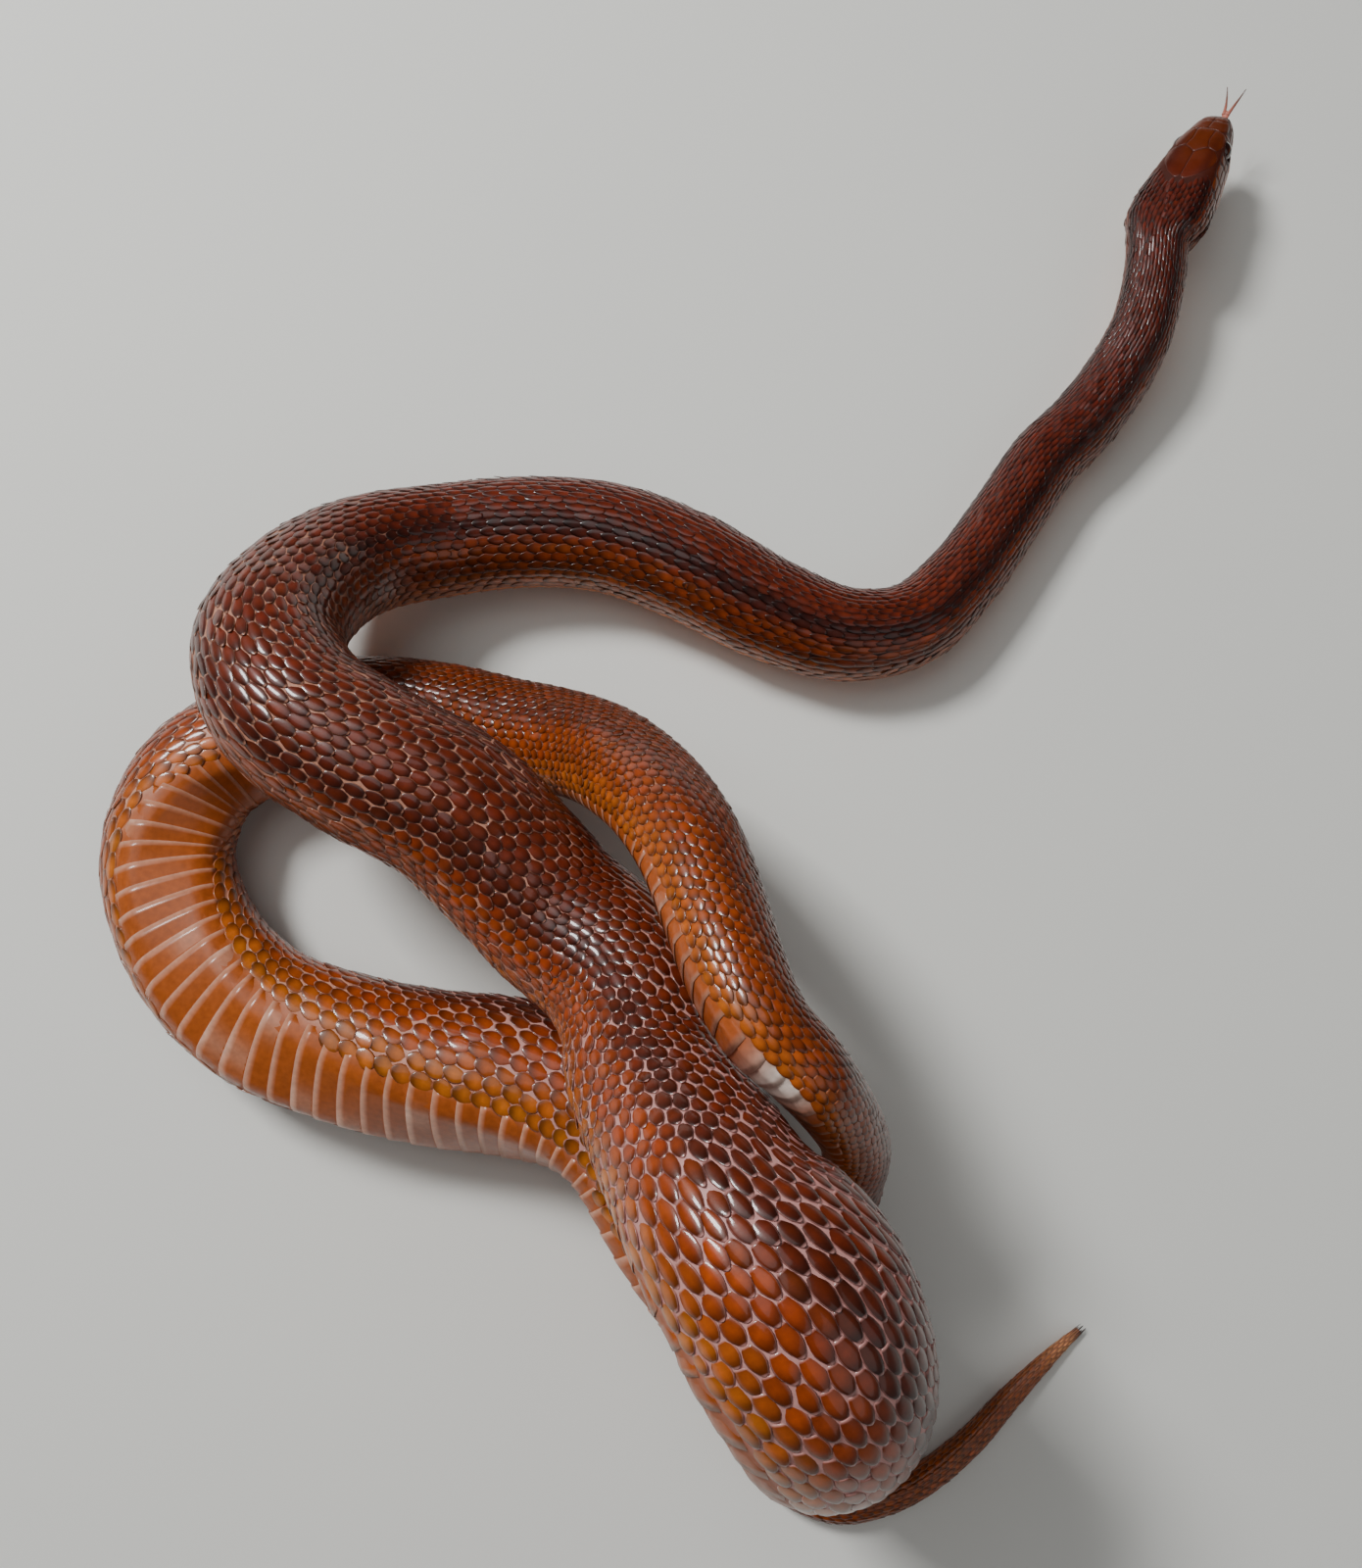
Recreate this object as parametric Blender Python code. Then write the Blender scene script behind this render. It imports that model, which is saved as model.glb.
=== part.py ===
"""Corn snake lying in a loose coil, as closed lengths of one bent body, a head, eyes and a tongue.

Shapes are worked out in millimetres, and the finished meshes are scaled to metres.  The body
is lofted along a centre line; its back, flanks and belly follow one cross-section whose radius
and turn change from neck to tail, and every belly scute ends in a raised edge over the next one.
"""
import bmesh
import bpy
import numpy as np
from mathutils import Matrix, Vector
from mathutils.bvhtree import BVHTree

MM = 0.001
GAP = 0.3                 # open face between neighbouring lengths
SINK = 0.6                # how far a resting length is pressed flat on the floor
EASE = 1.5                # height over which a length leaves the floor
STEPS = 24                # steps of the curve between two points of the centre line
TURN_WIDTH = 60           # steps over which the turn of the back is evened out
REST_WIDTH = 24           # steps over which the height of a resting length is evened out
CENTRE = (4.18, 4.86)     # middle of the lying animal, moved to the origin

# Centre line from the snout to the tip of the tail: x, y, height.
PATH = (
    # head and neck, held clear of the floor
    (113.6, 138.9, 13.6), (105.2, 124.0, 13.8), (99.6, 113.2, 13.4), (97.4, 101.6, 12.4),
    (94.8, 92.5, 11.0), (90.3, 84.2, 9.0), (82.5, 74.0, 7.2), (75.0, 66.6, 5.6),
    (66.6, 54.4, 5.2),
    # first bend on the floor
    (57.0, 41.1, 5.5), (46.0, 31.0, 6.5), (32.2, 28.8, 7.0), (17.1, 33.9, 8.0),
    (1.7, 42.2, 9.0), (-14.3, 48.2, 9.5), (-30.4, 49.5, 9.5),
    # left bend, climbing over the hind body
    (-47.8, 47.2, 11.8), (-62.6, 41.4, 18.3), (-70.9, 30.5, 28.0), (-73.1, 18.0, 36.3),
    (-67.3, 6.3, 40.3), (-55.2, -2.3, 40.0), (-39.8, -10.7, 37.5), (-29.8, -20.3, 34.5),
    (-21.0, -29.5, 33.0), (-11.7, -37.5, 35.0), (-6.4, -46.3, 39.5),
    # thick arch and the fold at its end
    (-4.2, -55.6, 45.0), (-1.0, -62.1, 50.6), (2.5, -68.4, 56.8), (7.1, -75.6, 62.4),
    (13.9, -84.0, 63.6), (18.5, -93.2, 60.0), (21.0, -100.6, 52.0), (21.3, -103.8, 41.4),
    (19.4, -103.0, 30.7), (15.0, -98.6, 21.8), (8.7, -91.4, 16.4), (1.5, -82.6, 14.0),
    # under the arch and round the left loop
    (-9.4, -67.2, 13.0), (-18.6, -61.0, 12.0), (-31.0, -57.5, 12.0), (-46.0, -55.5, 12.0),
    (-62.0, -52.0, 11.0), (-79.0, -45.5, 11.0), (-91.5, -33.5, 10.0), (-98.0, -18.0, 10.0),
    (-97.1, -7.9, 9.5), (-92.6, 0.6, 9.0), (-81.2, 7.6, 9.0), (-66.1, 12.0, 9.0),
    # draped over the thick body, then down to the floor
    (-48.7, 11.5, 10.5), (-32.4, 7.0, 16.2), (-21.6, 3.8, 21.5), (-14.1, 0.0, 27.5),
    (-8.6, -4.9, 34.5), (-3.0, -11.9, 43.0), (1.6, -20.6, 50.0), (4.8, -30.0, 55.0),
    (8.0, -39.3, 59.5), (12.4, -47.8, 62.6), (18.4, -53.9, 61.2), (24.0, -60.3, 52.2),
    (28.6, -67.4, 38.6), (29.6, -74.8, 24.0), (29.8, -82.6, 12.6), (31.0, -91.0, 7.0),
    # tail round the foot of the fold
    (31.0, -101.6, 4.5), (26.6, -110.4, 3.5), (19.6, -115.9, 3.5), (15.2, -121.9, 3.0),
    (18.8, -129.4, 3.0), (28.5, -134.0, 2.6), (40.5, -131.8, 2.4), (52.0, -124.6, 2.0),
    (62.0, -115.2, 1.5), (70.0, -108.2, 1.0), (76.1, -103.5, 0.6),
)

# Thickness of the body at distances from the snout.
GIRTH = (
    (36, 12.4), (45, 12.7), (54, 13.4), (66, 14.0), (82, 14.7), (99, 14.9), (115, 15.6),
    (130, 17.2), (145, 19.2), (162, 21.0), (180, 22.2), (200, 22.2), (220, 22.4), (245, 23.2),
    (262, 24.5), (278, 26.6), (292, 28.0), (320, 28.6), (364, 28.1), (387, 28.9),
    (402, 29.5), (413, 31.0), (421, 34.6), (431, 37.0), (442, 35.8), (456, 33.8), (468, 33.4),
    (492, 32.8), (522, 31.0), (562, 28.8), (614, 25.8), (641, 24.2), (664, 23.0), (698, 22.0),
    (727, 20.7), (748, 19.9), (772, 19.0), (783, 18.3), (794, 17.1), (804, 15.1), (812, 13.8),
    (824, 12.7), (840, 12.0), (872, 11.2), (895, 10.2), (915, 8.8), (932, 7.4), (948, 6.2),
    (965, 5.3), (978, 4.3), (988, 3.0), (996, 1.7), (1001, 1.0),
)

# Which way the back faces at distances from the snout.
BACK = (
    (0, (-0.37, 0.21, 0.90)), (30, (-0.36, 0.18, 0.91)), (50, (-0.31, 0.15, 0.94)),
    (110, (-0.38, 0.33, 0.87)),
    (145, (-0.10, 0.60, 0.79)), (195, (0.24, 0.60, 0.77)), (229, (-0.07, 0.64, 0.77)),
    (262, (-0.20, 0.13, 0.96)), (280, (0.0, 0.0, 1.0)), (307, (0.20, 0.37, 0.90)),
    (352, (0.43, 0.43, 0.79)), (400, (0.71, 0.41, 0.57)), (425, (0.80, 0.47, 0.35)),
    (455, (0.84, 0.54, 0.0)), (492, (0.83, 0.55, 0.1)),
    (522, (0.75, 0.66, -0.03)), (545, (0.21, 0.93, -0.31)), (570, (0.17, 0.75, -0.64)),
    (596, (0.22, 0.31, -0.93)), (620, (-0.05, -0.05, -1.0)), (640, (-0.54, 0.10, -0.84)),
    (655, (-0.53, 0.69, -0.50)), (672, (-0.29, 0.94, -0.19)), (686, (-0.02, 0.99, 0.16)),
    (700, (0.10, 0.89, 0.45)), (720, (0.05, 0.90, 0.43)), (745, (0.42, 0.86, 0.29)),
    (775, (0.93, 0.38, 0.03)), (800, (0.92, 0.34, -0.21)), (815, (0.59, 0.76, -0.27)),
    (835, (0.71, 0.70, -0.11)), (858, (0.99, 0.0, 0.10)),
    (885, (0.40, 0.0, 0.90)), (915, (0.0, 0.0, 1.0)), (1000, (0.0, 0.0, 1.0)),
)

# Lengths of the body: name and the distance from the snout where each one ends.
LENGTHS = (
    ("neck", 96), ("fore_body_1", 150), ("fore_body_2", 205), ("fore_body_3", 250),
    ("left_bend", 300), ("mid_body_1", 350), ("mid_body_2", 398), ("arch_rise", 432),
    ("arch_fold", 465), ("arch_return", 500), ("mid_body_3", 550), ("mid_body_4", 603),
    ("hind_loop", 655), ("hind_body_1", 715), ("hind_body_2", 770), ("hind_body_3", 815),
    ("tail_base", 872), ("tail_middle", 930), ("tail_end", 997),
)

# Cross-section, in parts of the radius.
BELLY_FLAT = 0.87         # depth of the flat belly below the centre
BELLY_ROUND = 0.03        # how much the belly still bulges
SCUTE_EDGE = 136.0        # angle from the back at which a scute meets the flank
BACK_COLUMNS = 12
BELLY_ANGLES = (150.0, 180.0, 210.0)
SCUTE_LIFT = 0.026        # height of a scute's hind edge, in parts of the radius
SCUTE_LIP = 0.45          # length of the step behind a scute
SCUTE_PITCH = (1.5, 0.185)   # length of a scute: at no girth, and added per radius
RING_SCUTES = 2           # scutes to one ring of the back

HEAD_LENGTH = 36.0        # snout to the face that meets the neck
NECK_START = 27.0         # where the head's outline begins to turn into the neck's

# Head outline at distances behind the snout: half width, crown, chin, height of the mouth.
HEAD_FORM = (
    (0.0, 1.7, 1.2, -1.7, -1.1), (0.5, 2.6, 2.1, -2.1, -1.15), (1.4, 3.3, 2.9, -2.6, -1.2),
    (3.0, 4.0, 3.7, -3.2, -1.3), (5.0, 4.6, 4.3, -3.7, -1.5), (7.0, 5.2, 4.9, -4.0, -1.7),
    (9.0, 5.9, 5.2, -4.2, -1.9), (11.0, 6.4, 5.4, -4.4, -2.0), (14.0, 6.9, 5.5, -4.7, -1.9),
    (18.0, 7.7, 5.7, -5.0, -1.5), (22.0, 8.3, 5.8, -5.2, -1.0), (25.0, 8.5, 5.8, -5.3, -0.7),
    (28.0, 8.3, 5.8, -5.3, -0.6), (31.0, 7.4, 5.8, -5.3, -0.6), (36.0, 6.2, 5.8, -5.3, -0.6),
)
# Upper half of the head's section, crown to cheek: share of the half width and how it changes
# behind the eyes, share of the crown and how it changes, angle from the back on the neck.
CROWN_SECTION = (
    (0.0, 0.0, 1.0, 0.0, 0), (0.30, 0.0, 0.985, -0.01, 18), (0.56, 0.0, 0.94, -0.03, 36),
    (0.79, -0.03, 0.80, -0.03, 52), (0.89, 0.0, 0.56, 0.0, 66), (0.95, 0.0, 0.30, 0.0, 78),
    (0.99, 0.0, 0.0, 0.0, 90),
)
# Lower half, jaw to chin: shares of the half width, the chin and the mouth, angle on the neck.
CHIN_SECTION = (
    (0.82, 0.62, 0.3, 132), (0.62, 0.88, 0.0, 146), (0.32, 0.98, 0.0, 163), (0.0, 1.0, 0.0, 180),
)
ROUNDING = (12.0, 22.0)   # where the section changes behind the eyes
HEAD_RINGS = 32
SNOUT_CROWDING = 1.6      # how much closer the rings stand near the snout
MOUTH_CORNER = 23.5       # where the line of the mouth ends
MOUTH_DEPTH = 0.13        # depth of the mouth line, in parts of the half width
MOUTH_HALF = 0.17         # half the width of the mouth line
MOUTH_FADE = 3.0          # length over which the mouth line runs out
LIP_HEIGHT = (0.5, 0.6)   # full width above and below the mouth line

EYE_RADIUS = 2.1
EYE_PLACE = (4.0, -9.0, 2.0)
EYE_GAP = 0.3
NOSTRIL_PLACE = (3.95, -2.9, 1.35)
NOSTRIL_RADIUS = 0.42

# Head shields: low plates with a groove between them.
SHIELD_LIFT = 0.16
SHIELD_DOME = 0.07
SHIELD_SINK = 0.6
SHIELD_BEVEL = 0.18
SHIELD_GROOVE = 0.24
# Shields of one side, as corners in a view of the head: from above and below they are
# (to the side, behind the snout), from the side (behind the snout, up).
TOP_SHIELDS = (
    ((0.0, 1.1), (2.3, 1.5), (2.9, 2.7), (2.2, 3.3), (0.0, 3.2)),
    ((0.0, 3.2), (2.2, 3.3), (2.9, 2.7), (3.7, 3.9), (4.0, 5.4), (3.2, 6.5), (1.9, 6.3),
     (0.0, 6.0)),
    ((1.9, 6.3), (3.2, 6.5), (4.1, 6.8), (4.9, 8.2), (4.95, 10.2), (4.3, 11.9), (2.4, 11.4),
     (1.7, 9.2)),
    ((0.0, 12.9), (1.3, 11.9), (2.4, 11.4), (4.3, 11.9), (5.3, 13.2), (5.0, 15.6), (3.0, 18.6),
     (0.9, 20.0), (0.0, 19.4)),
)
FRONTAL = ((0.0, 6.0), (1.9, 6.3), (1.7, 9.2), (2.4, 11.4), (1.3, 11.9), (0.0, 12.9))
SIDE_SHIELDS = (
    ((0.8, 0.0), (2.8, 0.0), (4.4, 0.1), (4.2, 2.0), (2.9, 2.5), (1.5, 2.0)),
    ((4.5, 0.1), (5.9, 0.0), (5.8, 1.8), (4.3, 2.0)),
    ((6.0, 0.3), (6.8, 0.6), (6.6, 2.2), (7.0, 3.8), (6.3, 4.0), (5.9, 1.9)),
    ((11.3, 0.4), (12.9, 0.5), (12.8, 2.0), (11.5, 2.0)),
    ((11.5, 2.1), (12.8, 2.1), (12.9, 3.6), (11.4, 3.9), (11.1, 3.2)),
    ((13.0, 0.5), (16.6, 0.7), (16.8, 2.2), (13.0, 2.1)),
    ((13.0, 2.2), (16.7, 2.3), (16.1, 3.9), (13.5, 3.8)),
    ((16.8, 0.6), (19.8, 0.8), (20.4, 1.7), (19.4, 2.4), (17.0, 2.3)),
    ((17.0, 2.4), (19.4, 2.5), (19.2, 3.9), (16.5, 3.9)),
)
ROSTRAL = ((0.0, 2.2), (1.3, 1.7), (2.3, 0.4), (2.3, -0.9), (0.7, -0.95), (0.0, -0.75))
MENTAL = ((0.0, -1.35), (1.5, -1.35), (1.0, -2.1), (0.0, -2.35))
UPPER_LIP = (0.75, 3.0, 4.9, 6.8, 8.8, 11.0, 14.0, 17.4, 21.0)
UPPER_LIP_HEIGHT = (0.95, 1.1, 1.35, 1.3, 1.5, 2.0, 2.2, 2.0, 1.5)
LOWER_LIP = (0.9, 3.0, 4.6, 6.4, 8.4, 10.8, 13.6, 16.6, 19.4, 21.8)
LOWER_LIP_HEIGHT = 1.15
CHIN_SHIELDS = (
    ((0.0, 3.2), (1.7, 3.4), (1.9, 5.4), (1.5, 7.4), (0.0, 7.8)),
    ((0.0, 7.8), (1.5, 7.4), (1.9, 9.6), (1.2, 12.2), (0.0, 12.4)),
)

TONGUE_ROOT = 0.3         # clear of the snout
TONGUE_STEM = 3.0
TONGUE_THICK = 0.36
TONGUE_WIDTH = 0.55
TONGUE_FLARE = 0.25       # added to the width where the tongue forks
TONGUE_RISE = 0.5         # rise of the stem's end
PRONG_LENGTH = 5.5
PRONG_OVERLAP = 0.8       # length of a prong inside the stem
PRONG_SPREAD = (0.45, 1.5)   # sideways: at the fork, and added at the tip
PRONG_RISE = 1.6
PRONG_SIZE = (0.42, 0.26)    # half thickness at the fork and at the tip

HEAD_COLOUR = (0.22, 0.06, 0.025)
TONGUE_COLOUR = (0.25, 0.03, 0.03)
EYE_COLOUR = (0.02, 0.012, 0.01)
FRONT_COLOUR = (0.16, 0.045, 0.022)
HIND_COLOUR = (0.30, 0.11, 0.04)


def smooth(x, low, high):
    """Share from 0 at low to 1 at high, with no corner."""
    t = np.clip((x - low) / (high - low), 0.0, 1.0)
    return t * t * (3.0 - 2.0 * t)


def unit(v):
    """Vectors scaled to length one."""
    return v / np.linalg.norm(v, axis=-1, keepdims=True)


def bend(x, places, values):
    """Smooth curve through a table of values that never overshoots them."""
    steps = np.diff(places)
    slopes = np.diff(values) / steps
    product = slopes[:-1] * slopes[1:]
    total = np.where(product > 0.0, slopes[:-1] + slopes[1:], 1.0)
    inner = np.where(product > 0.0, 2.0 * product / total, 0.0)
    tangents = np.concatenate([slopes[:1], inner, slopes[-1:]])
    i = np.clip(np.searchsorted(places, x) - 1, 0, len(steps) - 1)
    t = np.clip((x - places[i]) / steps[i], 0.0, 1.0)
    start = (1 + 2 * t) * (1 - t) ** 2 * values[i] + t * (1 - t) ** 2 * steps[i] * tangents[i]
    end = t ** 2 * (3 - 2 * t) * values[i + 1] - t ** 2 * (1 - t) * steps[i] * tangents[i + 1]
    return start + end


def evened(values, width):
    """Values averaged over a number of steps to each side."""
    kernel = np.hanning(2 * width + 1)
    padded = np.pad(values, width, mode="edge")
    return np.convolve(padded, kernel / kernel.sum(), mode="valid")


def spline(points, steps):
    """Centripetal Catmull-Rom curve through the points."""
    p = np.array(points, float)
    p = np.vstack([2 * p[0] - p[1], p, 2 * p[-1] - p[-2]])
    rows = []
    for a, b, c, d in zip(p[:-3], p[1:-2], p[2:-1], p[3:]):
        k1 = np.linalg.norm(b - a) ** 0.5
        k2 = k1 + np.linalg.norm(c - b) ** 0.5
        k3 = k2 + np.linalg.norm(d - c) ** 0.5
        t = np.linspace(k1, k2, steps, endpoint=False)[:, None]
        ab = (k1 - t) / k1 * a + t / k1 * b
        bc = (k2 - t) / (k2 - k1) * b + (t - k1) / (k2 - k1) * c
        cd = (k3 - t) / (k3 - k2) * c + (t - k2) / (k3 - k2) * d
        abc = (k2 - t) / k2 * ab + t / k2 * bc
        bcd = (k3 - t) / (k3 - k1) * bc + (t - k1) / (k3 - k1) * cd
        rows.append((k2 - t) / (k2 - k1) * abc + (t - k1) / (k2 - k1) * bcd)
    return np.vstack(rows + [p[-2][None]])


def section(angle):
    """Sideways and upward offsets of the loaf-shaped section at an angle from the back."""
    a = np.radians(angle)
    side = np.sin(a)
    up = np.cos(a)
    half = np.sqrt(1.0 - BELLY_FLAT ** 2)
    belly = -BELLY_FLAT - BELLY_ROUND * (1.0 - np.minimum(np.abs(side) / half, 1.0) ** 2)
    return side, np.maximum(up, belly)


def back_angles():
    """Angles of the columns between the two edges of the belly."""
    return np.linspace(-SCUTE_EDGE, SCUTE_EDGE, BACK_COLUMNS)


class Spine:
    """Centre line with a tangent, a back direction and a radius at every distance."""

    def __init__(self):
        self.centre = spline(PATH, STEPS)
        self.radius = None
        for _ in range(3):
            self.measure()
            self.settle()
        self.measure()

    def measure(self):
        """Distances along the line, its directions and the radius at each."""
        steps = np.linalg.norm(np.diff(self.centre, axis=0), axis=1)
        self.along = np.concatenate([[0.0], np.cumsum(steps)])
        self.tangent = unit(np.gradient(self.centre, self.along, axis=0))
        girth = np.array(GIRTH, float)
        self.radius = bend(self.along, girth[:, 0], girth[:, 1]) / 2
        self.face_back()

    def face_back(self):
        """Carry a frame along the line and turn it to meet the wanted back directions."""
        carried = np.zeros_like(self.centre)
        carried[0] = (0.0, 0.0, 1.0)
        for i, t in enumerate(self.tangent):
            v = carried[max(i - 1, 0)]
            carried[i] = unit(v - t * np.dot(v, t))
        other = np.cross(self.tangent, carried)
        places = []
        turns = []
        for place, wanted in BACK:
            i = min(np.searchsorted(self.along, place), len(self.along) - 1)
            places.append(place)
            turns.append(np.arctan2(np.dot(wanted, other[i]), np.dot(wanted, carried[i])))
        turn = np.interp(self.along, places, np.unwrap(turns))
        turn = evened(turn, TURN_WIDTH)[:, None]
        self.back = carried * np.cos(turn) + other * np.sin(turn)
        self.side = np.cross(self.tangent, self.back)

    def settle(self):
        """Rest the low stretches on the floor and let the others leave it gently."""
        side, up = section(np.concatenate([back_angles(), BELLY_ANGLES]))
        drop = self.side[:, 2:] * side + self.back[:, 2:] * up
        support = evened(-drop.min(axis=1) * self.radius, REST_WIDTH) - SINK
        rise = spline(PATH, STEPS)[:, 2] - support
        lift = np.where(rise > EASE, rise, (np.maximum(rise + EASE, 0.0)) ** 2 / (4 * EASE))
        self.centre[:, 2] = support + lift

    def at(self, place):
        """Centre, tangent, side, back and radius at one distance from the snout."""
        rows = []
        for table in (self.centre, self.tangent, self.side, self.back):
            rows.append(np.array([np.interp(place, self.along, table[:, k]) for k in range(3)]))
        radius = np.interp(place, self.along, self.radius)
        centre, tangent, side, back = rows
        tangent = unit(tangent)
        back = unit(back - tangent * np.dot(back, tangent))
        return centre, tangent, np.cross(tangent, back), back, radius

    def point(self, place, angle, swell=1.0):
        """Point of the surface at a distance from the snout and an angle from the back."""
        centre, _, side, back, radius = self.at(place)
        across, up = section(angle)
        return centre + (side * across + back * up) * radius * swell


def scute_edges(spine):
    """Distances of the scute edges from the head to the end of the tail."""
    edges = [HEAD_LENGTH]
    end = LENGTHS[-1][1]
    while edges[-1] < end:
        radius = np.interp(edges[-1], spine.along, spine.radius)
        edges.append(edges[-1] + SCUTE_PITCH[0] + SCUTE_PITCH[1] * radius)
    return edges


def make_object(name, points, faces, colour, roughness):
    """Closed object of points in millimetres, its faces turned outward."""
    mesh = bpy.data.meshes.new(name)
    mesh.from_pydata([tuple(p) for p in points], [], faces)
    work = bmesh.new()
    work.from_mesh(mesh)
    bmesh.ops.recalc_face_normals(work, faces=work.faces)
    bmesh.ops.triangulate(work, faces=work.faces)
    work.to_mesh(mesh)
    work.free()
    mesh.validate()
    for polygon in mesh.polygons:
        polygon.use_smooth = True
    obj = bpy.data.objects.new(name, mesh)
    bpy.context.scene.collection.objects.link(obj)
    obj.data.materials.append(make_material(name, colour, roughness))
    return obj


def make_material(name, colour, roughness):
    """Plain Principled material of one colour."""
    material = bpy.data.materials.new(name)
    material.use_nodes = True
    shader = material.node_tree.nodes["Principled BSDF"]
    shader.inputs["Base Color"].default_value = (*colour, 1.0)
    shader.inputs["Roughness"].default_value = roughness
    shader.inputs["Metallic"].default_value = 0.0
    material.diffuse_color = (*colour, 1.0)
    return material


def ground(points):
    """Move the animal over the origin and press its lowest points flat on the floor."""
    moved = np.array(points) - (*CENTRE, 0.0)
    moved[:, 2] = np.maximum(moved[:, 2], 0.0)
    return moved


def body_length(spine, name, edges, colour):
    """One closed length of the body between two scute edges."""
    rows = belly_rows(edges)
    points = []
    belly = []
    for place, high in rows:
        belly.append(len(points))
        points.append(spine.point(place, SCUTE_EDGE))
        for angle in BELLY_ANGLES:
            swell = 1.0 + (SCUTE_LIFT if high else 0.0)
            points.append(spine.point(place, angle, swell))
        points.append(spine.point(place, -SCUTE_EDGE))
    rings = ring_rows(rows)
    back = []
    for row in rings:
        back.append(len(points))
        for angle in back_angles()[1:-1]:
            points.append(spine.point(rows[row][0], angle))
    faces = belly_faces(belly) + back_faces(belly, rings, back)
    faces += end_faces(belly, rings, back)
    return make_object(name, ground(points), faces, colour, 0.4)


def belly_rows(edges):
    """Rows across the belly: place, and whether it is the raised hind edge of a scute."""
    rows = [(edges[0] + GAP / 2, False)]
    for edge in edges[1:-1]:
        rows.append((edge, True))
        rows.append((edge + SCUTE_LIP, False))
    rows.append((edges[-1] - GAP / 2, True))
    return rows


def ring_rows(rows):
    """Rows at which the back has a ring."""
    step = 2 * RING_SCUTES
    inner = list(range(2 * RING_SCUTES - 1, len(rows) - RING_SCUTES, step))
    return [0] + inner + [len(rows) - 1]


def belly_faces(belly):
    """Faces between neighbouring rows across the belly."""
    faces = []
    across = len(BELLY_ANGLES) + 1
    for first, second in zip(belly[:-1], belly[1:]):
        for k in range(across):
            faces.append((first + k, first + k + 1, second + k + 1, second + k))
    return faces


def back_faces(belly, rings, back):
    """Faces of the back and flanks, whose rings meet every few rows of the belly."""
    faces = []
    inner = BACK_COLUMNS - 2
    last = len(BELLY_ANGLES) + 1
    for j in range(len(rings) - 1):
        low, high = back[j], back[j + 1]
        for k in range(inner - 1):
            faces.append((low + k, low + k + 1, high + k + 1, high + k))
        span = range(rings[j], rings[j + 1] + 1)
        right_edge = [belly[i] for i in span]
        left_edge = [belly[i] + last for i in span]
        faces.append(tuple(left_edge + [high, low]))
        faces.append(tuple(right_edge + [high + inner - 1, low + inner - 1]))
    return faces


def end_faces(belly, rings, back):
    """Flat faces that close a length at both ends."""
    inner = BACK_COLUMNS - 2
    last = len(BELLY_ANGLES) + 1
    faces = []
    for j in (0, -1):
        row = belly[rings[j]]
        ring = list(range(back[j], back[j] + inner))
        faces.append(tuple(ring + [row + k for k in range(last + 1)]))
    return faces


class Head:
    """The head's own axes: to its right, forward and up from the tip of the snout."""

    def __init__(self, spine):
        centre, tangent, _, back, _ = spine.at(HEAD_LENGTH / 2)
        self.forward = -tangent
        self.up = back
        self.right = np.cross(self.forward, back)
        self.snout = centre + self.forward * HEAD_LENGTH / 2

    def place(self, spot):
        """Point of the scene, in millimetres, for a spot in the head's axes."""
        x, y, z = spot
        return self.snout + self.right * x + self.forward * y + self.up * z

    def spot(self, point):
        """Spot in the head's axes for a point of the scene."""
        away = point - self.snout
        return np.array([away @ self.right, away @ self.forward, away @ self.up])


def head_outline(behind):
    """Half width, crown, chin and height of the mouth at a distance behind the snout."""
    form = np.array(HEAD_FORM)
    return [float(bend(behind, form[:, 0], form[:, k])) for k in range(1, 5)]


def head_section(behind):
    """Right half of the section, crown to chin, with the angles it meets on the neck."""
    w, crown, chin, lip = head_outline(behind)
    cut = 1.0 - smooth(behind, MOUTH_CORNER - MOUTH_FADE, MOUTH_CORNER)
    rear = smooth(behind, *ROUNDING)
    upper = [((a + b * rear) * w, (c + d * rear) * crown, angle)
             for a, b, c, d, angle in CROWN_SECTION]
    lips = [
        (w, lip + LIP_HEIGHT[0], 100), ((0.98 + 0.01 * cut) * w, lip + MOUTH_HALF, 104),
        ((0.98 - MOUTH_DEPTH * cut) * w, lip, 108),
        ((0.97 - 0.03 * cut) * w, lip - MOUTH_HALF, 112),
        ((0.95 - 0.02 * cut) * w, lip - LIP_HEIGHT[1], 118),
    ]
    lower = [(a * w, b * chin + c * lip, angle) for a, b, c, angle in CHIN_SECTION]
    return upper + lips + lower


def head_loft(spine, head):
    """Rings of the bare head from the snout to its face with the neck."""
    rings = []
    for step in np.linspace(0.0, 1.0, HEAD_RINGS, endpoint=False):
        behind = step ** SNOUT_CROWDING * (HEAD_LENGTH - 1.0)
        half = head_section(behind)
        into_neck = smooth(behind, NECK_START, HEAD_LENGTH - 1.0)
        ring = []
        for mirror, chosen in ((1, half), (-1, half[-2:0:-1])):
            for x, z, angle in chosen:
                own = head.place((x * mirror, -behind, z))
                neck = spine.point(max(behind, 0.1), -angle * mirror)
                ring.append(own * (1 - into_neck) + neck * into_neck)
        rings.append(ring)
    angles = [angle for _, _, angle in head_section(HEAD_LENGTH)]
    angles = [-a for a in angles] + angles[-2:0:-1]
    rings.append([spine.point(HEAD_LENGTH - GAP / 2, a) for a in angles])
    return rings


def loft(rings):
    """Points and faces of a body through rings of as many points, closed at its ends."""
    points = [p for ring in rings for p in ring]
    n = len(rings[0])
    faces = []
    for j in range(len(rings) - 1):
        for k in range(n):
            m = (k + 1) % n
            faces.append((j * n + k, j * n + m, (j + 1) * n + m, (j + 1) * n + k))
    faces.append(tuple(range(n - 1, -1, -1)))
    faces.append(tuple(range((len(rings) - 1) * n, len(rings) * n)))
    return points, faces


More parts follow.
